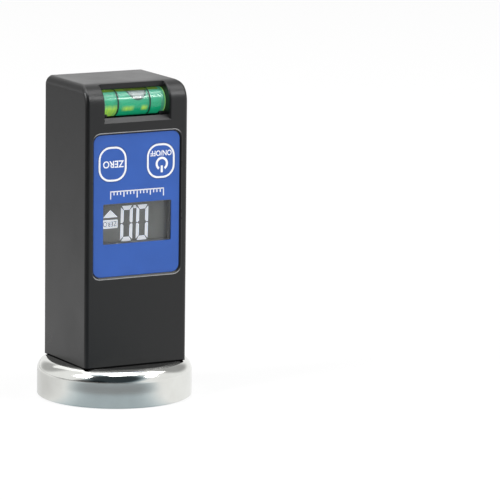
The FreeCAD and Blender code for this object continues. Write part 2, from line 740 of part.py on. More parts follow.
def panel_pocket(body):
    """Pocket for the blue panel with the window and both key wells."""
    depth = size.label_recess + size.label_thickness
    room = size.label_room * 2
    width, height = LABEL_WIDTH + room, size.label_height + room
    middle = LABEL_MIDDLE - CASE_BASE
    rim = new_sketch(body, "panel_pocket_outline", "XZ_Plane", y=middle, level=-FRONT)
    round_rectangle(rim, width, height, size.label_corner + size.label_room)
    pocket(body, rim, depth)

    def pocket_rim(edge):
        box = box_of(edge)
        inside = box.XMax < width.number / 2 + 1e-3 and box.XMin > -width.number / 2 - 1e-3
        low = (middle - height / 2).number - 1e-3
        high = (middle + height / 2).number + 1e-3
        return flat_edge("Y", FRONT)(edge) and inside and box.ZMin > low and box.ZMax < high

    dress(body, "Chamfer", "panel_rim", pocket_rim, size.label_rim)
    window = new_sketch(
        body, "window_outline", "XZ_Plane", x=size.window_shift, y=WINDOW_MIDDLE - CASE_BASE, level=-FRONT)
    round_rectangle(window, WINDOW_WIDTH, size.window_height, size.window_corner)
    pocket(body, window, size.front_wall)
    well_depth = size.label_recess + size.key_thickness + size.key_travel + size.key_spare
    for label, side in (("power", 1), ("zero", -1)):
        key_x = KEY_SIDE * side
        key_z = KEY_MIDDLE - CASE_BASE
        well = new_sketch(body, f"{label}_key_well", "XZ_Plane", x=key_x, y=key_z, level=-FRONT)
        round_rectangle(
            well, size.key_width + size.key_room * 2, size.key_height + size.key_room * 2,
            size.key_corner + size.key_room)
        pocket(body, well, well_depth)
        hole = new_sketch(body, f"{label}_plunger_hole", "XZ_Plane", x=key_x, y=key_z, level=-FRONT)
        circle(hole, size.plunger_diameter + size.plunger_room * 2)
        pocket(body, hole, size.front_wall)


def case_cavity(body):
    """Room for the works, open at the back, and the step that takes the rear cover."""
    behind = BACK + size.cover_ledge
    under_notch = TROUGH_Z - size.notch_back_wall
    cavity = new_sketch(body, "cavity_profile", "YZ_Plane")
    outline(cavity, (
        (WALL_BACK, size.case_floor),
        (behind, size.case_floor),
        (behind, CAVITY_TOP),
        (NOTCH_BACK + size.notch_back_wall, CAVITY_TOP),
        (NOTCH_BACK + size.notch_back_wall, under_notch),
        (WALL_BACK, under_notch),
    ))
    pocket(body, cavity, INSIDE_WIDTH, both_ways=True)
    step = new_sketch(body, "cover_step", "XZ_Plane", y=COVER_MIDDLE - CASE_BASE, level=-BACK)
    round_rectangle(step, COVER_WIDTH + size.cover_room * 2, COVER_HEIGHT + size.cover_room * 2,
                    size.cover_corner + size.cover_room)
    pocket(body, step, size.cover_thickness, reverse=True)


def cover_screw_places():
    """X and Z of the rear cover's four screws, seen from the cover's middle."""
    x = COVER_WIDTH / 2 - size.post_inset
    z = COVER_HEIGHT / 2 - size.post_inset
    return ((-x, -z), (x, -z), (x, z), (-x, z))


def board_hole_places():
    """X and Z of the circuit board's four holes, seen from the board's middle."""
    x = BOARD_WIDTH / 2 - size.board_hole_inset
    z = BOARD_HEIGHT / 2 - size.board_hole_inset
    return ((-x, -z), (x, -z), (x, z), (-x, z))


def case_bosses(body):
    """Screw posts for the cover, bosses for the board and the pocket for the hub nut."""
    middle = COVER_MIDDLE - CASE_BASE
    lower, upper = cover_screw_places()[:2], cover_screw_places()[2:]
    lower_length = COVER_INSIDE - WALL_BACK
    upper_length = COVER_INSIDE - NOTCH_BACK - size.notch_back_wall
    for label, places, length in (("lower", lower, lower_length), ("upper", upper, upper_length)):
        posts = new_sketch(body, f"{label}_posts", "XZ_Plane", y=middle, level=-COVER_INSIDE)
        for x, z in places:
            circle(posts, size.post_diameter, x, z)
        pad(body, posts, length)
    pilots = new_sketch(body, "post_pilots", "XZ_Plane", y=middle, level=-COVER_INSIDE)
    for x, z in cover_screw_places():
        circle(pilots, size.cover_screw_diameter, x, z)
    pocket(body, pilots, size.cover_screw_length + size.pilot_spare, reverse=True)
    board_middle = BOARD_MIDDLE - CASE_BASE
    bosses = new_sketch(body, "board_bosses", "XZ_Plane", y=board_middle, level=-BOARD_FRONT)
    for x, z in board_hole_places():
        circle(bosses, size.board_boss_diameter, x, z)
    pad(body, bosses, size.glass_thickness + size.connector_section)
    holes = new_sketch(body, "board_pilots", "XZ_Plane", y=board_middle, level=-BOARD_FRONT)
    for x, z in board_hole_places():
        circle(holes, size.board_screw_diameter, x, z)
    pocket(body, holes, size.board_screw_length + size.pilot_spare, reverse=True)
    boss = new_sketch(body, "nut_boss", "XY_Plane", level=size.case_floor)
    circle(boss, size.nut_flats + size.nut_boss_wall * 2)
    pad(body, boss, size.nut_thickness)
    nut = new_sketch(body, "nut_pocket", "XY_Plane", level=size.case_floor + size.nut_thickness)
    hexagon(nut, size.nut_flats + size.nut_clearance * 2)
    pocket(body, nut, size.nut_thickness)
    hole = new_sketch(body, "case_screw_hole", "XY_Plane")
    circle(hole, size.screw_diameter + size.screw_clearance * 2)
    pocket(body, hole, size.case_floor, reverse=True)


def housing():
    """Moulded case: block, vial notch, panel pocket, cavity and bosses."""
    body = new_body("housing", z=CASE_BASE)
    case_block(body)
    vial_notch(body)
    panel_pocket(body)
    case_cavity(body)
    case_bosses(body)
    return body


def rear_cover():
    """Flush cover in the back of the case with the battery well behind it."""
    body = new_body("rear_cover", y=COVER_INSIDE, z=COVER_MIDDLE)
    plate = new_sketch(body, "cover_outline", "XZ_Plane")
    round_rectangle(plate, COVER_WIDTH, COVER_HEIGHT, size.cover_corner)
    pad(body, plate, size.cover_thickness, reverse=True)
    well_z = WELL_MIDDLE - COVER_MIDDLE
    well_depth = COVER_INSIDE - WELL_FLOOR_Y
    outer = new_sketch(body, "well_outline", "XZ_Plane", y=well_z)
    rectangle(outer, WELL_WIDTH + size.well_wall * 2, WELL_HEIGHT + size.well_wall * 2)
    pad(body, outer, well_depth + size.well_wall)
    opening = new_sketch(body, "well_opening", "XZ_Plane", y=well_z, level=-size.cover_thickness)
    rectangle(opening, WELL_WIDTH, WELL_HEIGHT)
    pocket(body, opening, size.cover_thickness + well_depth, reverse=True)
    recess = new_sketch(body, "door_recess", "XZ_Plane", y=well_z, level=-size.cover_thickness)
    lap = size.door_lap * 2
    round_rectangle(recess, WELL_WIDTH + lap, WELL_HEIGHT + lap, size.door_corner)
    pocket(body, recess, size.door_thickness, reverse=True)
    rib = new_sketch(body, "cell_rib", "XZ_Plane", y=well_z, level=well_depth)
    rectangle(rib, size.well_rib_thickness, size.well_rib_length)
    pad(body, rib, size.well_rib, reverse=True)
    holes = new_sketch(body, "cover_holes", "XZ_Plane", level=-size.cover_thickness)
    for x, z in cover_screw_places():
        circle(holes, size.cover_screw_diameter + size.small_screw_room * 2, x, z)
    pocket(body, holes, size.cover_thickness, reverse=True)
    sink = (size.cover_screw_head - size.cover_screw_diameter) / 2
    rims = [(x.number, z.number) for x, z in cover_screw_places()]

    def screw_rim(edge):
        box = box_of(edge)
        middle = box.Center
        round_rim = near(box.XLength, box.ZLength, 1e-3) and box.XLength < size.cover_screw_head.number
        at_screw = any(near(middle.x, x, 1e-3) and near(middle.z, z, 1e-3) for x, z in rims)
        return flat_edge("Y", size.cover_thickness)(edge) and round_rim and at_screw

    dress(body, "Chamfer", "countersinks", screw_rim, sink)
    return body


def battery_door():
    """Door over the battery well; it pulls straight off the back."""
    body = new_body("battery_door", y=BACK, z=WELL_MIDDLE)
    grow = (size.door_lap - size.door_room) * 2
    plate = new_sketch(body, "door_outline", "XZ_Plane")
    round_rectangle(plate, WELL_WIDTH + grow, WELL_HEIGHT + grow, size.door_corner - size.door_room)
    pad(body, plate, size.door_thickness)
    room = size.door_room * 2
    skirt = new_sketch(body, "skirt_outline", "XZ_Plane", level=size.door_thickness)
    for inset in (room, room + size.door_skirt_wall * 2):
        rectangle(skirt, WELL_WIDTH - inset, WELL_HEIGHT - inset)
    pad(body, skirt, size.door_skirt)
    scoop_z = WELL_HEIGHT / 2 - size.scoop_radius / 2
    scoop = new_sketch(body, "thumb_scoop", "XZ_Plane", y=scoop_z - size.scoop_radius)
    circle(scoop, size.scoop_radius * 2)
    pocket(body, scoop, size.scoop_depth, reverse=True)
    ribs = new_sketch(body, "grip_rib", "XZ_Plane", y=scoop_z - size.scoop_radius * 2 - size.grip_pitch)
    rectangle(ribs, size.grip_length, size.grip_width)
    first = pad(body, ribs, size.grip_rise, reverse=True)
    pattern = body.newObject("PartDesign::LinearPattern", "grip_ribs")
    pattern.Originals = [first]
    pattern.Direction = (ribs, ["V_Axis"])
    pattern.Reversed = True
    bind(pattern, "Length", size.grip_pitch * 3)
    pattern.Occurrences = 4
    body.Tip = pattern
    document.recompute()
    return body


def cover_screws():
    """Four countersunk screws of the rear cover."""
    sink = (size.cover_screw_head - size.cover_screw_diameter) / 2
    screws = []
    for number, (x, z) in enumerate(cover_screw_places(), start=1):
        z = z + COVER_MIDDLE
        head = document.addObject("Part::Cone", f"cover_screw_head_{number}")
        bind(head, "Radius1", size.cover_screw_head / 2 - size.small_screw_room)
        bind(head, "Radius2", size.cover_screw_diameter / 2 - size.small_screw_room)
        bind(head, "Height", sink)
        head.Placement = FreeCAD.Placement(
            FreeCAD.Vector(), FreeCAD.Rotation(FreeCAD.Vector(1, 0, 0), 90))
        place(head, x, BACK, z)
        length = size.cover_thickness + size.cover_screw_length
        shank = cylinder(f"cover_screw_shank_{number}", size.cover_screw_diameter - size.small_screw_room * 2,
                         length, "Y", x, BACK - length, z)
        screw = document.addObject("Part::Fuse", f"cover_screw_{number}")
        screw.Base = shank
        screw.Tool = head
        screws.append(screw)
    return group("cover_screws", screws)


def overlay_panel():
    """Thin blue panel with openings for the display and the keys."""
    body = new_body("overlay_panel", y=LABEL_FACE, z=LABEL_MIDDLE)
    sheet = new_sketch(body, "overlay_outline", "XZ_Plane")
    round_rectangle(sheet, LABEL_WIDTH, size.label_height, size.label_corner)
    pad(body, sheet, size.label_thickness, reverse=True)
    window_y = WINDOW_MIDDLE - LABEL_MIDDLE
    window = new_sketch(body, "overlay_window", "XZ_Plane", x=size.window_shift, y=window_y)
    round_rectangle(window, WINDOW_WIDTH, size.window_height, size.window_corner)
    pocket(body, window, size.label_thickness)
    for label, side in (("power", 1), ("zero", -1)):
        hole = new_sketch(body, f"overlay_{label}_hole", "XZ_Plane",
                          x=KEY_SIDE * side, y=KEY_MIDDLE - LABEL_MIDDLE)
        round_rectangle(hole, size.key_width + size.key_room * 2, size.key_height + size.key_room * 2,
                        size.key_corner + size.key_room)
        pocket(body, hole, size.label_thickness)
    return body


def display_window():
    """Clear pane glued into the display opening, behind the panel."""
    body = new_body("display_window", x=size.window_shift, y=LABEL_BACK, z=WINDOW_MIDDLE)
    pane = new_sketch(body, "pane_outline", "XZ_Plane")
    room = size.pane_room * 2
    round_rectangle(pane, WINDOW_WIDTH - room, size.window_height - room, size.window_corner)
    pad(body, pane, size.pane_thickness, reverse=True)
    return body


def display_glass():
    """Liquid crystal cell: a front glass and a taller rear glass with contact ledges."""
    body = new_body("display_glass", x=size.window_shift, y=WALL_BACK, z=WINDOW_MIDDLE)
    front = new_sketch(body, "front_glass", "XZ_Plane")
    rectangle(front, GLASS_WIDTH, GLASS_HEIGHT - size.glass_ledge * 2)
    pad(body, front, size.glass_thickness, reverse=True)
    rear = new_sketch(body, "rear_glass", "XZ_Plane", level=-size.glass_thickness / 2)
    rectangle(rear, GLASS_WIDTH, GLASS_HEIGHT)
    pad(body, rear, size.glass_thickness / 2, reverse=True)
    return body


def display_frame():
    """Frame that holds the display between the case's front wall and the board."""
    body = new_body("display_frame", x=size.window_shift, y=WALL_BACK, z=WINDOW_MIDDLE)
    inner_height = GLASS_HEIGHT + size.glass_room * 2
    ring = new_sketch(body, "frame_outline", "XZ_Plane")
    rectangle(ring, FRAME_WIDTH, inner_height + size.frame_wall * 2)
    rectangle(ring, GLASS_WIDTH + size.glass_room * 2, inner_height)
    pad(body, ring, size.glass_thickness + size.connector_section, reverse=True)
    return body


def display_connectors():
    """Two rubber contact strips between the display and the board."""
    strips = []
    length = GLASS_WIDTH - size.connector_inset * 2
    section = size.connector_section
    offset = GLASS_HEIGHT / 2 - section / 2
    middle_y = WALL_BACK + size.glass_thickness + section / 2
    for label, side in (("lower", -1), ("upper", 1)):
        middle_z = WINDOW_MIDDLE + offset * side
        strips.append(block(f"{label}_connector", length, section, section,
                            size.window_shift, middle_y, middle_z))
    return group("display_connectors", strips)


def key(label, side):
    """Key pad flush with the blue panel."""
    body = new_body(f"{label}_key", x=KEY_SIDE * side, y=LABEL_FACE, z=KEY_MIDDLE)
    shape = new_sketch(body, f"{label}_key_outline", "XZ_Plane")
    round_rectangle(shape, size.key_width, size.key_height, size.key_corner)
    pad(body, shape, size.key_thickness, reverse=True)
    return body


def plunger(label, side):
    """Stem that carries a key's push to its switch."""
    start = LABEL_FACE + size.key_thickness
    length = BOARD_FRONT - size.switch_height + size.plunger_reach - start
    stem = cylinder(f"{label}_plunger", size.plunger_diameter, length, "Y",
                    KEY_SIDE * side, start, KEY_MIDDLE)
    stem.Label = f"{label}_plunger"
    return stem


def switch(label, side):
    """Push switch on the board with a well for the key's plunger."""
    body = new_body(f"{label}_switch", x=KEY_SIDE * side, y=BOARD_FRONT, z=KEY_MIDDLE)
    base = new_sketch(body, f"{label}_switch_outline", "XZ_Plane")
    rectangle(base, size.switch_side, size.switch_side)
    pad(body, base, size.switch_height)
    half = size.switch_side.number / 2

    def corner(edge):
        box = box_of(edge)
        return near(box.XLength, 0) and near(box.ZLength, 0) and near(abs(box.XMin), half)

    dress(body, "Chamfer", f"{label}_switch_corners", corner, size.switch_edge)
    well = new_sketch(body, f"{label}_switch_well", "XZ_Plane", level=size.switch_height)
    circle(well, size.plunger_diameter + size.plunger_room * 2)
    pocket(body, well, size.plunger_reach + size.key_travel + size.switch_well_room)
    return body


def circuit_board():
    """Circuit board behind the display."""
    body = new_body("circuit_board", y=BOARD_FRONT, z=BOARD_MIDDLE)
    shape = new_sketch(body, "board_outline", "XZ_Plane")
    rectangle(shape, BOARD_WIDTH, BOARD_HEIGHT)
    pad(body, shape, size.board_thickness, reverse=True)
    half = BOARD_WIDTH.number / 2

    def corner(edge):
        box = box_of(edge)
        return near(box.XLength, 0) and near(box.ZLength, 0) and near(abs(box.XMin), half)

    dress(body, "Chamfer", "board_corners", corner, size.board_corner)
    holes = new_sketch(body, "board_holes", "XZ_Plane")
    for x, z in board_hole_places():
        circle(holes, size.board_screw_diameter + size.small_screw_room * 2, x, z)
    pocket(body, holes, size.board_thickness)
    return body


def board_screws():
    """Four pan screws that hold the board to its bosses."""
    screws = []
    for number, (x, z) in enumerate(board_hole_places(), start=1):
        z = z + BOARD_MIDDLE
        length = size.board_thickness + size.board_screw_length
        shank = cylinder(f"board_screw_shank_{number}", size.board_screw_diameter - size.small_screw_room * 2,
                         length, "Y", x, BOARD_BACK - length, z)
        head = cylinder(f"board_screw_head_{number}", size.board_screw_head, size.board_head_height,
                        "Y", x, BOARD_BACK, z)
        screw = document.addObject("Part::Fuse", f"board_screw_{number}")
        screw.Base = shank
        screw.Tool = head
        screws.append(screw)
    return group("board_screws", screws)


def package(label, width, height, thickness, x, y, z, forward):
    """Component with a chamfered lid on the board, forward or backward."""
    body = new_body(label, x=x, y=y, z=z)
    shape = new_sketch(body, f"{label}_outline", "XZ_Plane")
    rectangle(shape, width, height)
    pad(body, shape, thickness, reverse=not forward)
    lid = -thickness if forward else thickness
    dress(body, "Chamfer", f"{label}_lid", flat_edge("Y", lid), size.chip_edge)
    return body


def clock_crystal():
    """Clock crystal lying on the back of the board."""
    radius = size.crystal_diameter / 2
    can = cylinder("clock_crystal", size.crystal_diameter, size.crystal_length, "Z",
                   size.crystal_side, BOARD_BACK + radius, BOARD_BOTTOM + size.chip_base)
    can.Label = "clock_crystal"
    return can


def battery(label, side):
    """Small round cell; the left one stands tip up and the right one tip down."""
    tip_up = side < 0
    end = size.contact_thickness
    base_z = WELL_BOTTOM + end + (size.spring_length if tip_up else size.cell_tip_height)
    body = new_body(label, x=size.cell_spacing * (side / 2), y=CELL_Y, z=base_z)
    radius = size.cell_diameter / 2
    tip = size.cell_tip_diameter / 2
    low, high = as_length(0), size.cell_length
    section = new_sketch(body, f"{label}_section", "XZ_Plane")
    if tip_up:
        corners = ((0, low), (radius, low), (radius, high), (tip, high),
                   (tip, high + size.cell_tip_height), (0, high + size.cell_tip_height))
    else:
        corners = ((0, high), (radius, high), (radius, low), (tip, low),
                   (tip, -size.cell_tip_height), (0, -size.cell_tip_height))
    outline(section, corners)
    turn(body, section)
    rims = (ring_at(radius, low), ring_at(radius, high))
    dress(body, "Fillet", f"{label}_edges", lambda edge: any(rim(edge) for rim in rims), size.cell_round)
    return body


def contact_plates():
    """Contact plates at both ends of the battery well; the upper one joins the cells."""
    low = WELL_BOTTOM + size.contact_thickness / 2
    high = WELL_BOTTOM + WELL_HEIGHT - size.contact_thickness / 2
    plates = [
        block(f"{label}_contact", size.contact_side, size.contact_side, size.contact_thickness,
              size.cell_spacing * (side / 2), CELL_Y, low)
        for label, side in (("left", -1), ("right", 1))
    ]
    plates.append(block("joining_contact", size.cell_spacing + size.contact_side, size.contact_side,
                        size.contact_thickness, 0, CELL_Y, high))
    return group("contact_plates", plates)


def cone_coil():
    """Conical coil of six-sided wire along Z, as one unbroken bar."""
    wire = size.spring_wire.number / 2
    rise = size.spring_length.number - wire * 2
    taper = (size.spring_tip_radius - size.spring_base_radius).number
    steps = SPRING_TURNS * SPRING_STEPS
    sections = []
    for step in range(steps + 1):
        turned = 2 * math.pi * step / SPRING_STEPS
        outward = FreeCAD.Vector(math.cos(turned), math.sin(turned), 0)
        centre = outward * (size.spring_base_radius.number + taper * step / steps)
        centre.z = wire + rise * step / steps
        ring = []
        for corner in range(7):
            angle = math.pi * corner / 3
            ring.append(centre + outward * (wire * math.cos(angle)) + UPWARD * (wire * math.sin(angle)))
        sections.append(Part.makePolygon(ring))
    return Part.makeLoft(sections, True, True)


def battery_springs():
    """Coil under the left cell and over the right one."""
    shape = cone_coil()
    low = WELL_BOTTOM + size.contact_thickness
    high = WELL_BOTTOM + WELL_HEIGHT - size.contact_thickness
    coils = []
    for label, side, z, angle in (("left", -1, low, 0), ("right", 1, high, 180)):
        coil = document.addObject("Part::Feature", f"{label}_coil")
        coil.Shape = shape.copy()
        coil.Placement = FreeCAD.Placement(
            FreeCAD.Vector(), FreeCAD.Rotation(FreeCAD.Vector(1, 0, 0), angle))
        place(coil, size.cell_spacing * (side / 2), CELL_Y, z)
        coils.append(coil)
    return group("battery_springs", coils)


def vial_barrel():
    """Clear tube of the level vial with a groove for each black line."""
    radius = size.vial_diameter / 2
    bore = VIAL_BORE / 2
    half = VIAL_LENGTH / 2
    body = new_body("vial_barrel", y=VIAL_Y, z=VIAL_Z)
    section = new_sketch(body, "barrel_section", "XZ_Plane")
    outline(section, ((-half, bore), (half, bore), (half, radius), (-half, radius)))
    turn(body, section, axis="H_Axis")

    def outer_end(edge):
        box = box_of(edge)
        at_end = near(box.XLength, 0) and near(abs(box.XMin), half.number)
        return at_end and near(box.ZMax, radius.number, 1e-3)

    dress(body, "Fillet", "barrel_ends", outer_end, size.vial_round)
    for label, side in (("left", -1), ("right", 1)):
        groove = new_sketch(body, f"{label}_line_groove", "XZ_Plane")
        line_outline(groove, side, radius + size.line_depth)
        turn(body, groove, "Groove", axis="H_Axis")
    return body


def line_outline(sketch, side, top):
    """Section of one black line, seated in its groove."""
    middle = size.line_spacing * (side / 2)
    floor = size.vial_diameter / 2 - size.line_depth
    low = middle - size.line_width / 2
    high = middle + size.line_width / 2
    outline(sketch, ((low, floor), (high, floor), (high, top), (low, top)))


def vial_lines():
    """Two black lines round the vial."""
    rings = []
    for label, side in (("left", -1), ("right", 1)):
        body = new_body(f"{label}_vial_line", y=VIAL_Y, z=VIAL_Z)
        section = new_sketch(body, f"{label}_line_section", "XZ_Plane")
        line_outline(section, side, size.vial_diameter / 2)
        turn(body, section, axis="H_Axis")
        rings.append(body)
    return group("vial_lines", rings)


def vial_plugs():
    """Clear plug in each end of the vial."""
    plugs = []
    for label, side in (("left", -1), ("right", 1)):
        start = VIAL_LENGTH * (side / 2) - (size.plug_length if side > 0 else 0)
        plugs.append(cylinder(f"{label}_vial_plug", VIAL_BORE - size.plug_room * 2, size.plug_length,
                              "X", start, VIAL_Y, VIAL_Z))
    return group("vial_plugs", plugs)


def vial_fluid():
    """Green fluid with the channel that the bubble runs in along the top."""
    length = VIAL_LENGTH - size.plug_length * 2
    fill = cylinder("fluid_fill", VIAL_BORE, length, "X", -length / 2, VIAL_Y, VIAL_Z)
    channel = cylinder("bubble_channel", size.bubble_diameter + size.bubble_room * 2, length, "X",
                       -length / 2, VIAL_Y, bubble_z())
    fluid = document.addObject("Part::Cut", "vial_fluid")
    fluid.Label = "vial_fluid"
    fluid.Base = fill
    fluid.Tool = channel
    return fluid


def bubble_z():
    return VIAL_Z + VIAL_BORE / 2 - size.bubble_top_room - size.bubble_diameter / 2


def vial_bubble():
    """Air bubble, round at both ends."""
    radius = size.bubble_diameter / 2
    half = size.bubble_length / 2
    body = new_body("vial_bubble", x=size.bubble_offset, y=VIAL_Y, z=bubble_z())
    section = new_sketch(body, "bubble_section", "XZ_Plane")
    outline(section, ((-half, 0), (half, 0), (half, radius), (-half, radius)))
    turn(body, section, axis="H_Axis")

    def end_rim(edge):
        box = box_of(edge)
        return near(box.XLength, 0) and near(abs(box.XMin), half.number)

    dress(body, "Fillet", "bubble_ends", end_rim, size.bubble_end_round)
    return body


def build_all():
    """Every sub-part of the gauge, from the magnet up."""
    parts = [
        magnet_cup(), magnet_ring(), magnet_glue(),
        hub_disc(), hub_washer(), hub_screw(), hub_nut(),
        housing(), rear_cover(), cover_screws(), battery_door(),
        overlay_panel(), display_window(), display_glass(), display_frame(), display_connectors(),
        circuit_board(), board_screws(), clock_crystal(),
        package("tilt_sensor", size.sensor_width, size.sensor_height, size.sensor_thickness,
                0, BOARD_FRONT, BOARD_BOTTOM + size.sensor_base + size.sensor_height / 2, True),
        package("controller_chip", size.chip_side, size.chip_side, size.chip_thickness,
                0, BOARD_BACK, BOARD_BOTTOM + size.chip_base + size.chip_side / 2, False),
        battery("battery_left", -1), battery("battery_right", 1),
        contact_plates(), battery_springs(),
        vial_barrel(), vial_lines(), vial_plugs(), vial_fluid(), vial_bubble(),
    ]
    for label, side in (("power", 1), ("zero", -1)):
        parts += [key(label, side), plunger(label, side), switch(label, side)]
    return parts


def check(parts):
    """Stop if any object failed or any sub-part is not a sound solid."""
    document.recompute()
    for item in document.Objects:
        if "Invalid" in item.State or "Error" in item.State:
            raise ValueError(f"{item.Name} failed: {item.State}")
    for part in parts:
        shape = part.Shape
        if shape.isNull() or not shape.isValid() or not shape.Solids:
            raise ValueError(f"{part.Label} is not a sound solid")
        print(f"{part.Label}: {len(shape.Solids)} solid(s), {shape.Volume:.1f} mm3")


def main():
    os.makedirs("parts", exist_ok=True)
    parts = build_all()
    check(parts)
    for part in parts:
        if not re.fullmatch(r"[a-z0-9_]{1,59}", part.Label):
            raise ValueError(f"{part.Label} can't name a file")
        part.Shape.exportStep(os.path.join("parts", f"{part.Label}.step"))
    print(f"{len(parts)} sub-parts written")


main()
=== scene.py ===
import logging
import math
from dataclasses import dataclass
from enum import Enum
from typing import Iterable, Sequence

import bmesh
import bpy
from mathutils import Matrix, Vector


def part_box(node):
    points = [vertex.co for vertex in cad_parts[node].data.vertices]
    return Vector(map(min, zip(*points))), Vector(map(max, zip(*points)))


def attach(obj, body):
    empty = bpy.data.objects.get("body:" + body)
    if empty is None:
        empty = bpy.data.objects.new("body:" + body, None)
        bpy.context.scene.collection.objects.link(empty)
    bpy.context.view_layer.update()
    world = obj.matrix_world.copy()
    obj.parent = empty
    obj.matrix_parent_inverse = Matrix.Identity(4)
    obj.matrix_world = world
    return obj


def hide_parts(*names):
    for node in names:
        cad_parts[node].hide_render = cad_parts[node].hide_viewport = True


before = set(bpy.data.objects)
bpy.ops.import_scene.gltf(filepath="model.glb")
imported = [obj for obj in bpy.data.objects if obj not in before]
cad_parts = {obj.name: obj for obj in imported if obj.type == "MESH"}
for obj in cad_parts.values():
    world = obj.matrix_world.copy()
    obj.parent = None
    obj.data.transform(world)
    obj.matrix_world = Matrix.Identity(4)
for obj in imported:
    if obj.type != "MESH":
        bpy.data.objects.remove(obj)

MM = 0.001
SHARP_EDGE = math.radians(35.0)
Colour = tuple[float, float, float]
Socket = bpy.types.NodeSocket
Mesh = bmesh.types.BMesh
log = logging.getLogger("gauge")
MADE: dict["Finish", bpy.types.Material] = {}


class Body(Enum):
    """Bodies that the pieces ride on."""

    GAUGE = "gauge_body"
    POWER_KEY = "power_key_body"
    ZERO_KEY = "zero_key_body"
    BUBBLE = "bubble_body"
    DOOR = "door_body"


class Grain(Enum):
    """Direction in which a surface's fine marks run."""

    ROUND = "round the upright axis"
    ACROSS = "along X"
    NONE = "no direction"


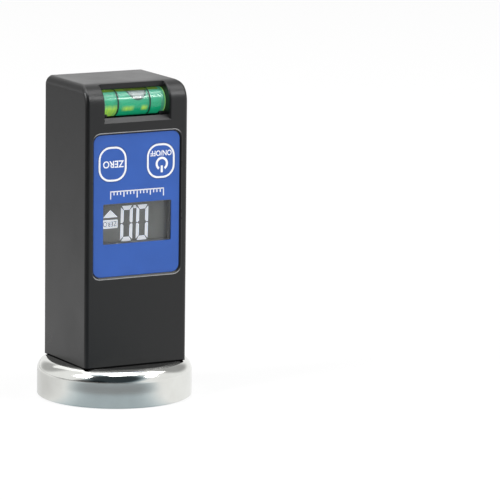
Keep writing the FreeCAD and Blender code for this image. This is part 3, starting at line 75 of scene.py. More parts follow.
class Tree:
    """Node tree with shorthand for arithmetic, coordinates, noise and blending."""

    def __init__(self, tree: bpy.types.NodeTree, coordinates: str) -> None:
        """Take up a node tree.

        Args:
            tree: Node tree to work in.
            coordinates: Kind of texture coordinates.
        """
        self.nodes = tree.nodes
        self.links = tree.links
        self.coordinates = self.nodes.new("ShaderNodeTexCoord").outputs[coordinates]

    def feed(self, socket: Socket, value: object) -> None:
        """Link a socket, or set it if the value is plain.

        Args:
            socket: Input to feed.
            value: Output socket or plain value.
        """
        if isinstance(value, Socket):
            self.links.new(value, socket)
        else:
            socket.default_value = value

    def math(self, operation: str, first: object, second: object = 0.0) -> Socket:
        """Arithmetic on one or two values.

        Args:
            operation: Blender's name of the operation.
            first: First value.
            second: Second value.

        Returns:
            The result's socket.
        """
        node = self.nodes.new("ShaderNodeMath")
        node.operation = operation
        self.feed(node.inputs[0], first)
        self.feed(node.inputs[1], second)
        return node.outputs[0]

    def axes(self) -> tuple[Socket, ...]:
        """X, Y and Z of the surface point, in metres."""
        node = self.nodes.new("ShaderNodeSeparateXYZ")
        self.links.new(self.coordinates, node.inputs[0])
        return tuple(node.outputs)

    def vector(self, x: object, y: object, z: object) -> Socket:
        """Vector from three values.

        Args:
            x: First value.
            y: Second value.
            z: Third value.

        Returns:
            The vector's socket.
        """
        node = self.nodes.new("ShaderNodeCombineXYZ")
        for socket, value in zip(node.inputs, (x, y, z)):
            self.feed(socket, value)
        return node.outputs[0]

    def mapped(self, scale: Sequence[float], centre: Sequence[float] = (0, 0, 0)) -> Socket:
        """Coordinates stretched about a centre.

        Args:
            scale: Stretch along X, Y and Z, per metre.
            centre: Point that stays at the pattern's origin, in metres.

        Returns:
            The stretched coordinates.
        """
        node = self.nodes.new("ShaderNodeMapping")
        self.links.new(self.coordinates, node.inputs["Vector"])
        node.inputs["Scale"].default_value = tuple(scale)
        node.inputs["Location"].default_value = tuple(-c * s for c, s in zip(centre, scale))
        return node.outputs[0]

    def polar(self, along: float, round_: float) -> Socket:
        """Coordinates round the upright axis: radius and height scaled by along, angle by round_.

        Args:
            along: Cycles per metre of radius or height.
            round_: Cycles per radian.

        Returns:
            The coordinates.
        """
        x, y, z = self.axes()
        angle = self.math("ARCTAN2", y, x)
        return self.vector(self.product(self.radius(), along), self.product(angle, round_),
                           self.product(z, along))

    def noise(self, vector: Socket, detail: float = 3.0, rough: float = 0.5) -> Socket:
        """Smooth noise from 0 to 1.

        Args:
            vector: Coordinates.
            detail: Octaves.
            rough: Weight of the finer octaves.

        Returns:
            The noise value.
        """
        node = self.nodes.new("ShaderNodeTexNoise")
        self.links.new(vector, node.inputs["Vector"])
        node.inputs["Scale"].default_value = 1.0
        node.inputs["Detail"].default_value = detail
        node.inputs["Roughness"].default_value = rough
        return node.outputs["Fac"]

    def specks(self, scale: float, detail: float = 3.0, rough: float = 0.5) -> Socket:
        """Noise of one scale in every direction, in cycles per metre."""
        return self.noise(self.mapped((scale,) * 3), detail, rough)

    def span(self, value: Socket, low: float, high: float, to_low: float = 0.0,
             to_high: float = 1.0) -> Socket:
        """Value carried from one range to another, clamped.

        Args:
            value: Value to carry.
            low: Start of its range.
            high: End of its range.
            to_low: Result at the start.
            to_high: Result at the end.

        Returns:
            The result.
        """
        node = self.nodes.new("ShaderNodeMapRange")
        self.links.new(value, node.inputs["Value"])
        for key, number in (("From Min", low), ("From Max", high), ("To Min", to_low), ("To Max", to_high)):
            node.inputs[key].default_value = number
        return node.outputs[0]

    def blend(self, share: Socket, first: object, second: object) -> Socket:
        """Mix of two colours.

        Args:
            share: Share of the second colour.
            first: Colour at share 0.
            second: Colour at share 1.

        Returns:
            The mixed colour.
        """
        node = self.nodes.new("ShaderNodeMix")
        node.data_type = "RGBA"
        self.links.new(share, node.inputs["Factor"])
        for key, colour in (("A", first), ("B", second)):
            socket = [s for s in node.inputs if s.name == key and s.type == "RGBA"][0]
            self.feed(socket, (*colour, 1.0) if isinstance(colour, tuple) else colour)
        return [s for s in node.outputs if s.type == "RGBA"][0]

    def towards(self, azimuth: float, elevation: float, edge: tuple[float, float]) -> Socket:
        """Share of a soft spot of directions.

        Args:
            azimuth: Direction of its middle in degrees, 0 in front and 90 at the left.
            elevation: Height of its middle in degrees.
            edge: Closeness at which it starts and is full.

        Returns:
            Share from 0 to 1.
        """
        unit = self.nodes.new("ShaderNodeVectorMath")
        unit.operation = "NORMALIZE"
        self.links.new(self.coordinates, unit.inputs[0])
        dot = self.nodes.new("ShaderNodeVectorMath")
        dot.operation = "DOT_PRODUCT"
        self.links.new(unit.outputs[0], dot.inputs[0])
        dot.inputs[1].default_value = heading(azimuth, elevation)
        near = self.span(dot.outputs["Value"], *edge)
        near.node.interpolation_type = "SMOOTHSTEP"
        return near

    def product(self, *factors: object) -> Socket:
        """Product of several values."""
        total = factors[0]
        for factor in factors[1:]:
            total = self.math("MULTIPLY", total, factor)
        return total

    def weighted(self, first: object, share: object, second: object, rest: object) -> Socket:
        """Sum of two values, each times its own factor."""
        return self.math("ADD", self.product(first, share), self.product(second, rest))

    def less(self, share: Socket, amount: float) -> Socket:
        """1 less a share times an amount."""
        return self.math("SUBTRACT", 1.0, self.product(share, amount))

    def apart(self, value: Socket, place: float) -> Socket:
        """Distance of a value from a place."""
        return self.math("ABSOLUTE", self.math("SUBTRACT", value, place))

    def radius(self) -> Socket:
        """Distance of the surface point from the upright axis, in metres."""
        x, y, _ = self.axes()
        return self.math("SQRT", self.weighted(x, x, y, y))


def scaled(colour: Colour, share: float) -> Colour:
    """Colour with every channel times a share."""
    return tuple(channel * share for channel in colour)


def heading(azimuth: float, elevation: float) -> Vector:
    """Unit vector of a direction in degrees, azimuth 0 in front and 90 at the left."""
    a, e = math.radians(azimuth), math.radians(elevation)
    return Vector((-math.sin(a) * math.cos(e), -math.cos(a) * math.cos(e), math.sin(e)))


class Shader(Tree):
    """Node tree of one procedural material, on Object coordinates."""

    def __init__(self, name: str) -> None:
        """Start a material.

        Args:
            name: Name of the material.
        """
        self.material = bpy.data.materials.new(name)
        self.material.use_nodes = True
        super().__init__(self.material.node_tree, "Object")
        self.surface = self.nodes["Principled BSDF"]

    def set(self, **values: object) -> None:
        """Set uniform values on the surface shader.

        Args:
            values: Socket names with underscores for spaces, and their values.
        """
        for key, value in values.items():
            if isinstance(value, tuple) and len(value) == 3:
                value = (*value, 1.0)
            self.surface.inputs[key.replace("_", " ")].default_value = value

    def colour(self, value: object) -> None:
        """Feed the surface's base colour."""
        self.feed(self.surface.inputs["Base Color"], value)

    def roughness(self, value: object) -> None:
        """Feed the surface's roughness."""
        self.feed(self.surface.inputs["Roughness"], value)

    def glowing(self, value: Socket) -> None:
        """Feed the base colour and the colour of the glow."""
        self.colour(value)
        self.feed(self.surface.inputs["Emission Color"], value)

    def bump(self, height: Socket, distance: float) -> None:
        """Raise the surface by a height pattern, on top of any earlier one.

        Args:
            height: Pattern from 0 to 1.
            distance: Height of 1, in metres.
        """
        node = self.nodes.new("ShaderNodeBump")
        node.inputs["Strength"].default_value = 1.0
        node.inputs["Distance"].default_value = distance
        self.links.new(height, node.inputs["Height"])
        normal = self.surface.inputs["Normal"]
        if normal.is_linked:
            self.links.new(normal.links[0].from_socket, node.inputs["Normal"])
        self.links.new(node.outputs[0], normal)


@dataclass(frozen=True)
class Finish:
    """Look of one surface; equal finishes share one material.

    Args:
        name: Name of the material.
    """

    name: str

    def material(self) -> bpy.types.Material:
        """The finish's material, made on first use."""
        if self not in MADE:
            shader = Shader(self.name)
            self.paint(shader)
            MADE[self] = shader.material
        return MADE[self]

    def paint(self, shader: Shader) -> None:
        """Set up the node tree."""
        raise NotImplementedError


@dataclass(frozen=True)
class MouldedPlastic(Finish):
    """Moulded plastic with a spark-eroded grain and faint handling marks."""

    colour: Colour = (0.0035, 0.0035, 0.0038)
    gloss: float = 0.32
    grain: float = 0.00035
    depth: float = 0.000015
    specular: float = 0.46
    patches: float = 45.0
    rubbed: float = 1.4
    dust: float = 0.001
    # Height up to which the case gets painted shade: there its gloss is taken out, so it shows as a dark
    # line.
    painted_shade_top: float = 0.0
    painted_shade_fade: float = 0.00012

    def paint(self, shader: Shader) -> None:
        """Grain bump, patchy gloss, slightly lighter rubbed areas and, when set, painted shade along the
        bottom of the case, where the gloss is taken out.
        """
        shader.set(Specular_IOR_Level=self.specular)
        # Painted shade: below this height the gloss is taken out, so a dark line stands for the crease
        # shade where the case meets the cup.
        if self.painted_shade_top:
            dull = shader.span(shader.axes()[2], self.painted_shade_top, self.painted_shade_top + self.painted_shade_fade, 0.0, self.specular)
            shader.feed(shader.surface.inputs["Specular IOR Level"], dull)
        broad = shader.specks(self.patches, 4.0)
        lighter = tuple(min(1.0, channel * self.rubbed + self.dust) for channel in self.colour)
        shader.colour(shader.blend(shader.span(broad, 0.35, 0.8), self.colour, lighter))
        shader.roughness(shader.span(broad, 0.3, 0.7, self.gloss - 0.05, self.gloss + 0.07))
        shader.bump(shader.specks(1 / self.grain, 2.0), self.depth)


@dataclass(frozen=True)
class PrintedFilm(Finish):
    """Printed polyester film with a fine matt texture."""

    colour: Colour = (0.028, 0.11, 0.455)
    gloss: float = 0.38
    drift: float = 60.0
    peel: float = 2600.0
    depth: float = 0.00001

    def paint(self, shader: Shader) -> None:
        """Colour that drifts a little, and a fine peel."""
        shader.set(Specular_IOR_Level=0.4)
        broad = shader.specks(self.drift)
        peel = shader.specks(self.peel, 2.0)
        shader.colour(shader.blend(shader.span(broad, 0.3, 0.75), self.colour, scaled(self.colour, 0.86)))
        shader.roughness(shader.span(peel, 0.2, 0.8, self.gloss - 0.06, self.gloss + 0.08))
        shader.bump(peel, self.depth)


@dataclass(frozen=True)
class Ink(Finish):
    """Screen-printed ink, slightly uneven."""

    colour: Colour = (0.9, 0.91, 0.94)
    gloss: float = 0.5
    glow: float = 0.0
    grain: float = 1800.0

    def paint(self, shader: Shader) -> None:
        """Faint unevenness of the ink layer."""
        shader.set(Emission_Color=self.colour, Emission_Strength=self.glow)
        grain = shader.specks(self.grain)
        shader.colour(shader.blend(shader.span(grain, 0.45, 0.8), self.colour, scaled(self.colour, 0.93)))
        shader.roughness(shader.span(grain, 0.2, 0.8, self.gloss - 0.1, self.gloss + 0.1))


@dataclass(frozen=True)
class Metal(Finish):
    """Plated, ground or turned metal with marks that run one way."""

    colour: Colour = (0.78, 0.77, 0.73)
    stain: Colour = (0.66, 0.65, 0.61)
    gloss: float = 0.2
    spread: float = 0.12
    grain: Grain = Grain.ROUND
    pitch: float = 0.00025
    along: float = 60.0
    depth: float = 0.000004
    cloud: float = 90.0

    def paint(self, shader: Shader) -> None:
        """Clouded plating over fine tool marks."""
        shader.set(Metallic=1.0)
        fine = 1 / self.pitch
        clouds = shader.specks(self.cloud, 5.0, 0.6)
        if self.grain is Grain.ROUND:
            marks = shader.noise(shader.polar(fine, 2.0), 2.0)
        elif self.grain is Grain.ACROSS:
            marks = shader.noise(shader.mapped((self.along, fine, fine)), 2.0)
        else:
            marks = shader.specks(fine)
        mixed = shader.weighted(clouds, 0.6, marks, 0.4)
        shader.colour(shader.blend(shader.span(clouds, 0.35, 0.75), self.colour, self.stain))
        shader.roughness(shader.span(mixed, 0.3, 0.7, self.gloss, self.gloss + self.spread))
        shader.bump(marks, self.depth)


@dataclass(frozen=True)
class TurnedMetal(Finish):
    """Lathe-turned metal with rings that can be counted."""

    colour: Colour = (0.62, 0.6, 0.55)
    stain: Colour = (0.3, 0.27, 0.22)
    pitch: float = 0.0009
    ring_depth: float = 0.00006
    blots: float = 210.0
    scratches: float = 5000.0
    scratch_depth: float = 0.00001

    def paint(self, shader: Shader) -> None:
        """Rings of turning marks, with darker oily patches."""
        shader.set(Metallic=1.0)
        rings = shader.math("SINE", shader.product(shader.radius(), 2 * math.pi / self.pitch))
        blot = shader.specks(self.blots, 5.0, 0.65)
        shader.colour(shader.blend(shader.span(blot, 0.4, 0.66), self.colour, self.stain))
        shader.roughness(shader.span(blot, 0.3, 0.7, 0.16, 0.42))
        shader.bump(shader.span(rings, -1.0, 1.0), self.ring_depth)
        shader.bump(shader.noise(shader.polar(self.scratches, 3.0), 2.0), self.scratch_depth)


@dataclass(frozen=True)
class Ferrite(Finish):
    """Ground ceramic magnet: fine pores and grinding lines."""

    colour: Colour = (0.052, 0.052, 0.054)
    pores: float = 2400.0
    lines: tuple[float, float, float] = (3200.0, 90.0, 90.0)
    uneven: float = 70.0
    depth: float = 0.00001

    def paint(self, shader: Shader) -> None:
        """Pores, grinding lines and a broad unevenness."""
        shader.set(Specular_IOR_Level=0.45)
        pores = shader.specks(self.pores, 3.0, 0.7)
        mixed = shader.weighted(pores, 0.5, shader.noise(shader.mapped(self.lines), 2.0), 0.5)
        shader.colour(shader.blend(shader.span(mixed, 0.4, 0.72), self.colour, scaled(self.colour, 1.7)))
        shader.roughness(shader.span(shader.specks(self.uneven), 0.3, 0.7, 0.44, 0.6))
        shader.bump(mixed, self.depth)


@dataclass(frozen=True)
class Clear(Finish):
    """Clear or tinted moulding that light goes through."""

    colour: Colour = (0.96, 0.99, 0.97)
    gloss: float = 0.02
    index: float = 1.45
    flow: tuple[float, float, float] = (40.0, 300.0, 300.0)

    def paint(self, shader: Shader) -> None:
        """Nearly even surface with faint flow lines."""
        shader.set(Transmission_Weight=1.0, IOR=self.index, Base_Color=self.colour)
        flow = shader.noise(shader.mapped(self.flow), 2.0)
        shader.roughness(shader.span(flow, 0.3, 0.7, self.gloss, self.gloss + 0.03))


@dataclass(frozen=True)
class Fluid(Finish):
    """Fluorescent vial fluid with a painted glow: teal above, with painted yellow-green light where light
    gathers below.
    """

    deep: Colour = (0.016, 0.44, 0.23)
    pale: Colour = (0.09, 0.42, 0.29)
    painted_light_colour: Colour = (0.56, 0.86, 0.1)
    olive: Colour = (0.2, 0.3, 0.05)
    centre: tuple[float, float, float] = (0.0, -0.0102, 0.11535)
    radius: float = 0.00406
    glow: float = 0.4
    wisps: tuple[float, float, float] = (900.0, 90.0, 90.0)
    left_end: tuple[float, float] = (-0.0062, -0.0072)
    left_spot: tuple[float, float] = (-0.0022, 0.003)
    right_spot: tuple[float, float] = (0.0048, 0.0017)

    def paint(self, shader: Shader) -> None:
        """Tint by height, with painted light near the bottom and at the left end, and a painted glow."""
        # Painted glow: the emission lifts the fluid as if it were lit from inside.
        shader.set(Transmission_Weight=0.15, IOR=1.33, Roughness=0.15, Emission_Strength=self.glow)
        x, _, z = shader.axes()
        height = shader.span(z, self.centre[2] - self.radius, self.centre[2] + self.radius)
        teal = shader.blend(shader.span(height, 0.45, 0.85), self.deep, self.pale)
        wisps = shader.noise(shader.mapped(self.wisps, self.centre), 2.0)
        # Painted light: yellow-green patches at the left end and in a band near the bottom stand for light
        # gathered in the fluid.
        left = shader.product(shader.span(height, 0.5, 0.3), shader.span(x, *self.left_end))
        band = shader.product(shader.span(height, 0.42, 0.3), shader.span(height, 0.14, 0.22))
        spots = shader.math("MAXIMUM", self.spot(shader, x, *self.left_spot),
                            self.spot(shader, x, *self.right_spot))
        painted_light = shader.math("MAXIMUM", left, shader.product(band, spots))
        patchy = shader.product(painted_light, shader.span(wisps, 0.3, 0.55, 0.45, 1.0))
        colour = shader.blend(patchy, teal, self.painted_light_colour)
        shader.glowing(shader.blend(shader.span(height, 0.965, 0.985), colour, self.olive))

    @staticmethod
    def spot(shader: Shader, x: Socket, middle_x: float, half: float) -> Socket:
        """Soft patch of painted light along the tube, from its middle and half its length in metres."""
        return shader.span(shader.apart(x, middle_x), half, half * 0.35)


@dataclass(frozen=True)
class AirBubble(Finish):
    """Pale bubble seen through the tube, with painted shade at its edge where light bends away, and a
    painted glow.
    """

    pale: Colour = (0.33, 0.39, 0.4)
    painted_edge_shade: Colour = (0.02, 0.09, 0.07)
    olive: Colour = (0.2, 0.3, 0.05)
    top: float = 0.00385
    top_fade: float = 0.00008
    middle: tuple[float, float, float] = (0.0, 0.0, 0.0)
    half: float = 0.0045
    reach: float = 1.35
    streaks: tuple[float, float, float] = (1500.0, 60.0, 60.0)

    def paint(self, shader: Shader) -> None:
        """Painted grey that darkens towards the edge as painted shade, and turns olive at the top."""
        # Painted glow: the emission lifts the bubble as if it were lit from inside.
        shader.set(Roughness=0.12, Emission_Strength=0.25, Specular_IOR_Level=0.6)
        x, y, z = shader.axes()
        height = shader.math("SUBTRACT", z, self.middle[2])
        along = shader.math("DIVIDE", shader.math("SUBTRACT", x, self.middle[0]), self.half)
        angle = shader.math("ARCTAN2", shader.apart(y, self.middle[1]), height)
        round_ = shader.math("DIVIDE", angle, self.reach)
        reach = shader.weighted(along, along, round_, round_)
        streaks = shader.noise(shader.mapped(self.streaks), 2.0)
        grey = shader.blend(shader.span(streaks, 0.42, 0.7), self.pale, scaled(self.pale, 0.6))
        # Painted shade: the bubble darkens towards its edge, where light bends away.
        colour = shader.blend(shader.span(reach, 0.62, 0.86), grey, self.painted_edge_shade)
        crown = shader.span(height, self.top, self.top + self.top_fade)
        shader.glowing(shader.blend(crown, colour, self.olive))


@dataclass(frozen=True)
class RimLine(Finish):
    """Lip of the panel's pocket, with a painted highlight where it turns up or down."""

    # Colour of the painted highlight on the lip.
    bright: Colour = (0.31, 0.31, 0.31)
    dull: Colour = (0.016, 0.016, 0.017)
    middle: float = 0.077
    start: float = 0.0262
    fade: float = 0.0014
    lip_patch_scale: float = 160.0

    def paint(self, shader: Shader) -> None:
        """Painted highlight at the top and the bottom, plain at the sides."""
        away = shader.apart(shader.axes()[2], self.middle)
        lip_patches = shader.specks(self.lip_patch_scale)
        # Painted highlight: the lip is coloured bright where it runs along the top and bottom of the
        # pocket, in patches.
        share = shader.product(shader.span(away, self.start, self.start + self.fade),
                               shader.span(lip_patches, 0.3, 0.5, 0.7, 1.0))
        shader.colour(shader.blend(share, self.dull, self.bright))
        shader.roughness(shader.span(lip_patches, 0.3, 0.7, 0.25, 0.35))


@dataclass(frozen=True)
class DisplayGlass(Finish):
    """Unlit liquid crystal cell behind its polariser."""

    colour: Colour = (0.262, 0.258, 0.246)
    drift: float = 35.0
    grain: float = 3000.0

    def paint(self, shader: Shader) -> None:
        """Grey with a slow drift and a faint grain."""
        drift = shader.span(shader.specks(self.drift, 1.0), 0.3, 0.7)
        shader.colour(shader.blend(drift, self.colour, scaled(self.colour, 0.86)))
        shader.roughness(shader.span(shader.specks(self.grain, 1.0), 0.2, 0.8, 0.28, 0.4))


@dataclass(frozen=True)
class BoardLacquer(Finish):
    """Green solder lacquer over copper tracks."""

    green: Colour = (0.008, 0.11, 0.04)
    track: Colour = (0.02, 0.2, 0.08)
    tracks: tuple[float, float, float] = (420.0, 1.0, 420.0)
    track_width: float = 0.12
    weave: float = 900.0
    depth: float = 0.00003

    def paint(self, shader: Shader) -> None:
        """Paler bands where the tracks run under the lacquer."""
        cells = shader.nodes.new("ShaderNodeTexBrick")
        shader.feed(cells.inputs["Vector"], shader.mapped(self.tracks))
        cells.inputs["Mortar Size"].default_value = self.track_width
        shader.colour(shader.blend(cells.outputs["Fac"], self.green, self.track))
        shader.roughness(shader.span(shader.specks(self.weave, 2.0), 0.2, 0.8, 0.25, 0.4))
        shader.bump(cells.outputs["Fac"], self.depth)


@dataclass(frozen=True)
class CellJacket(Finish):
    """Printed battery sleeve with bare metal ends."""

    low: float = 0.0
    high: float = 0.05
    band: Colour = (0.55, 0.36, 0.1)
    band_start: float = 0.72
    sleeve: Colour = (0.012, 0.014, 0.018)
    sleeve_half: float = 0.485
    metal: Colour = (0.7, 0.7, 0.68)
    streaks: tuple[float, float, float] = (2500.0, 2500.0, 300.0)

    def paint(self, shader: Shader) -> None:
        """Dark sleeve, a coloured band and metal at both ends."""
        share = shader.span(shader.axes()[2], self.low, self.high)
        banded = shader.math("GREATER_THAN", share, self.band_start)
        ends = shader.math("GREATER_THAN", shader.apart(share, 0.5), self.sleeve_half)
        marks = shader.noise(shader.mapped(self.streaks), 2.0)
        sleeve = shader.blend(shader.span(marks, 0.4, 0.8), self.sleeve, scaled(self.sleeve, 1.4))
        shader.colour(shader.blend(ends, shader.blend(banded, sleeve, self.band), self.metal))
        shader.feed(shader.surface.inputs["Metallic"], ends)
        shader.roughness(shader.span(marks, 0.2, 0.8, 0.24, 0.36))


# The case carries painted shade along its bottom edge, where it sits on the cup.
CASE = MouldedPlastic("case_plastic", painted_shade_top=0.0147)
CASE_INNER = MouldedPlastic("inner_plastic", colour=(0.03, 0.03, 0.031), gloss=0.5)
FILM = PrintedFilm("blue_film")
WHITE_INK = Ink("white_ink")
NICKEL = Metal("nickel_plate", colour=(0.77, 0.78, 0.75), stain=(0.7, 0.7, 0.67), gloss=0.07, spread=0.06)
# The pocket's lip carries a painted highlight along its top and bottom.
RIM = RimLine("pocket_lip")
# The gasket foam's glow is painted light that lifts the opening's shaded side wall.
FOAM = Ink("gasket_foam", colour=(0.2, 0.2, 0.205), gloss=0.8, glow=0.14)
BRIGHT_LINE = Metal("bright_line", colour=(0.85, 0.84, 0.8), gloss=0.12)
ZINC = Metal("zinc_screw", colour=(0.7, 0.68, 0.62), stain=(0.36, 0.33, 0.28), gloss=0.14, spread=0.3,
             grain=Grain.NONE, pitch=0.0012, depth=0.00004, cloud=380.0)
TIN = Metal("tin_contact", colour=(0.75, 0.75, 0.73), gloss=0.22, grain=Grain.ACROSS, pitch=0.0004)
TURNED = TurnedMetal("turned_disc")
FERRITE = Ferrite("ground_ferrite")
GLUE = MouldedPlastic("glue_line", colour=(0.01, 0.01, 0.01), gloss=0.35, grain=0.0015, depth=0.00006)
PANE = Clear("window_pane", colour=(0.97, 0.98, 0.98), gloss=0.02, index=1.2)
ACRYLIC = Clear("clear_acrylic", colour=(0.95, 1.0, 0.97), gloss=0.13, index=1.4)
# The plugs and the tube's end rings glow as painted light, standing for light gathered in the clear rod.
PLUG = Ink("plug_acrylic", colour=(0.09, 0.42, 0.28), gloss=0.3, glow=0.3)
END_GLOW = Ink("tube_end_glow", colour=(0.3, 0.6, 0.12), gloss=0.3, glow=0.55)
FLUID = Fluid("green_fluid")
LCD = DisplayGlass("display_grey")
LIT = Ink("lit_segment", colour=(0.86, 0.88, 0.95), gloss=0.35, glow=0.4)
LINE_INK = Ink("line_ink", colour=(0.008, 0.04, 0.028), gloss=0.45)
RECESS_SHADOW = Metal("recess_shadow", colour=(0.05, 0.05, 0.048), stain=(0.02, 0.02, 0.02), gloss=0.4)
GREY_INK = Ink("grey_ink", colour=(0.12, 0.12, 0.13), gloss=0.4)
BOARD = BoardLacquer("board_lacquer")
CHIP = MouldedPlastic("chip_epoxy", colour=(0.02, 0.02, 0.022), gloss=0.5, grain=0.0002)
SWITCH = MouldedPlastic("switch_body", colour=(0.05, 0.05, 0.055), gloss=0.5)
STEM = MouldedPlastic("white_stem", colour=(0.7, 0.7, 0.68), gloss=0.4)
STRIP = MouldedPlastic("contact_strip", colour=(0.2, 0.2, 0.21), gloss=0.6, grain=0.0003)


def base(node: str) -> tuple[Vector, Vector]:
    """Lowest and highest corner of a CAD node, in metres."""
    low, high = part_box(node)
    return Vector(low), Vector(high)


def middle(node: str) -> Vector:
    """Middle of a CAD node's box, in metres."""
    low, high = base(node)
    return (low + high) / 2


@dataclass
class Assembly:
    """Group of pieces that ride on one body.

    Args:
        body: Body the pieces ride on.
    """

    body: Body

    def make(self) -> None:
        """Build and dress the group's pieces."""
        raise NotImplementedError

    def dress(self, finish: Finish, *nodes: str) -> None:
        """Give CAD nodes a finish.

        Args:
            finish: Finish to assign.
            nodes: Names of the nodes.
        """
        for node in nodes:
            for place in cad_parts[node].material_slots:
                place.material = finish.material()
            log.info("%s dressed with %s", node, finish.name)

    def keep(self, name: str, piece: Mesh, finish: Finish, slot: str, replaces: Iterable[str] = (),
             body: Body | None = None) -> None:
        """Turn a finished bmesh into a piece that rides on a body.

        Args:
            name: Name of the piece.
            piece: Its mesh, in the row frame; it is freed.
            finish: Its finish.
            slot: The record's material slot; not used.
            replaces: CAD nodes the piece stands for.
            body: Body to ride on, if not the group's own.
        """
        mesh = bpy.data.meshes.new(name)
        piece.to_mesh(mesh)
        piece.free()
        mesh.materials.append(finish.material())
        for face in mesh.polygons:
            face.use_smooth = True
        mesh.set_sharp_from_angle(angle=SHARP_EDGE)
        item = bpy.data.objects.new(name, mesh)
        bpy.context.collection.objects.link(item)
        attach(item, (body or self.body).value)
        if replaces:
            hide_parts(*replaces)
        log.info("%s: %d faces", name, len(mesh.polygons))


FRONT = Matrix(((-1, 0, 0), (0, 0, -1), (0, -1, 0))).to_4x4()
BACK = Matrix(((-1, 0, 0), (0, 0, 1), (0, 1, 0))).to_4x4()
UP = Vector((0, 0, 1))
ACROSS = Vector((1, 0, 0))


def facing(x: float, y: float, z: float, side: Matrix = FRONT) -> Matrix:
    """Place for a flat piece on the front, where it reads from above, or on the back.

    Args:
        x: Place across, in metres.
        y: Place of the surface, in metres.
        z: Height, in metres.
        side: Turn towards the front or the back.

    Returns:
        Matrix from the flat piece's plane to the row frame.
    """
    return Matrix.Translation((x, y, z)) @ side


def raised(piece: Mesh, height: float) -> Mesh:
    """Give flat faces a thickness along +Z.

    Args:
        piece: Flat mesh.
        height: Thickness, in metres.

    Returns:
        The same mesh.
    """
    made = bmesh.ops.extrude_face_region(piece, geom=piece.faces[:])
    lifted = [item for item in made["geom"] if isinstance(item, bmesh.types.BMVert)]
    bmesh.ops.translate(piece, vec=(0, 0, height), verts=lifted)
    bmesh.ops.recalc_face_normals(piece, faces=piece.faces[:])
    return piece


def round_plate(width: float, height: float, corner: float) -> Mesh:
    """Flat plate with round corners about the origin.

    Args:
        width: Size along X, in metres.
        height: Size along Y, in metres.
        corner: Corner radius, in metres.

    Returns:
        Mesh with one face.
    """
    piece = bmesh.new()
    bmesh.ops.create_grid(piece, x_segments=1, y_segments=1, size=0.5)
    bmesh.ops.scale(piece, vec=(width, height, 1.0), verts=piece.verts[:])
    if corner:
        bmesh.ops.bevel(piece, geom=piece.verts[:], offset=corner, offset_type="OFFSET", affect="VERTICES",
                        segments=8, profile=0.5, material=-1)
    return piece


def outline_plate(width: float, height: float, corner: float, line: float) -> Mesh:
    """Flat round-cornered line about the origin.

    Args:
        width: Outer size along X, in metres.
        height: Outer size along Y, in metres.
        corner: Outer corner radius, in metres.
        line: Width of the line, in metres.

    Returns:
        Flat mesh of the line.
    """
    piece = round_plate(width, height, corner)
    inner = piece.faces[:]
    bmesh.ops.inset_region(piece, faces=inner, thickness=line, use_boundary=True, use_even_offset=True)
    bmesh.ops.delete(piece, geom=inner, context="FACES")
    return piece


def polygon(corners: Sequence[tuple[float, float]]) -> Mesh:
    """Flat polygon from a few corners.

    Args:
        corners: X and Y of each corner, in metres.

    Returns:
        Mesh with one face.
    """
    piece = bmesh.new()
    piece.faces.new([piece.verts.new((x, y, 0)) for x, y in corners])
    return piece


def merged(pieces: Iterable[Mesh]) -> Mesh:
    """One mesh from several; the sources are freed.

    Args:
        pieces: Meshes to join.

    Returns:
        The joined mesh.
    """
    whole = bmesh.new()
    for piece in pieces:
        step = bpy.data.meshes.new("step")
        piece.to_mesh(step)
        piece.free()
        whole.from_mesh(step)
        bpy.data.meshes.remove(step)
    return whole


def moved(piece: Mesh, place: Matrix) -> Mesh:
    """The same mesh at another place."""
    bmesh.ops.transform(piece, matrix=place, verts=piece.verts[:])
    return piece


def lettering(words: str, height: float, width: float, weight: float = 0.0) -> Mesh:
    """Flat letters about the origin, fitted to a box.

    Args:
        words: Letters to set.
        height: Cap height, in metres.
        width: Width of the line, in metres.
        weight: Extra boldness, as a share of the letter size.

    Returns:
        Flat mesh of the letters.
    """
    curve = bpy.data.curves.new("letters", "FONT")
    curve.body = words
    curve.offset = weight
    curve.resolution_u = 6
    holder = bpy.data.objects.new("letters", curve)
    bpy.context.collection.objects.link(holder)
    bpy.context.view_layer.update()
    step = bpy.data.meshes.new_from_object(holder.evaluated_get(bpy.context.evaluated_depsgraph_get()))
    piece = bmesh.new()
    piece.from_mesh(step)
    bmesh.ops.remove_doubles(piece, verts=piece.verts[:], dist=1e-5)
    bpy.data.objects.remove(holder)
    bpy.data.curves.remove(curve)
    bpy.data.meshes.remove(step)
    low = Vector([min(v.co[axis] for v in piece.verts) for axis in range(3)])
    high = Vector([max(v.co[axis] for v in piece.verts) for axis in range(3)])
    span = high - low
    bmesh.ops.translate(piece, vec=-(low + high) / 2, verts=piece.verts[:])
    bmesh.ops.scale(piece, vec=(width / span.x, height / span.y, 1.0), verts=piece.verts[:])
    return piece


def lathe(profile: Sequence[tuple[float, float]], axis: Vector, centre: Vector,
          steps: int = 64) -> Mesh:
    """Turned solid from a closed profile.

    Args:
        profile: Distance along the axis and radius of each corner, in metres.
        axis: Direction of the turning axis.
        centre: Point on the axis.
        steps: Faces round.

    Returns:
        Closed mesh.
    """
    piece = bmesh.new()
    side = Vector((0, 0, 1)) if abs(axis.z) < 0.5 else Vector((1, 0, 0))
    corners = [piece.verts.new(centre + axis * along + side * radius) for along, radius in profile]
    edges = [piece.edges.new((corners[i], corners[(i + 1) % len(corners)])) for i in range(len(corners))]
    bmesh.ops.spin(piece, geom=corners + edges, cent=centre, axis=axis, angle=2 * math.pi, steps=steps,
                   use_merge=True)
    bmesh.ops.remove_doubles(piece, verts=piece.verts[:], dist=1e-7)
    bmesh.ops.dissolve_degenerate(piece, edges=piece.edges[:], dist=1e-7)
    bmesh.ops.recalc_face_normals(piece, faces=piece.faces[:])
    return piece


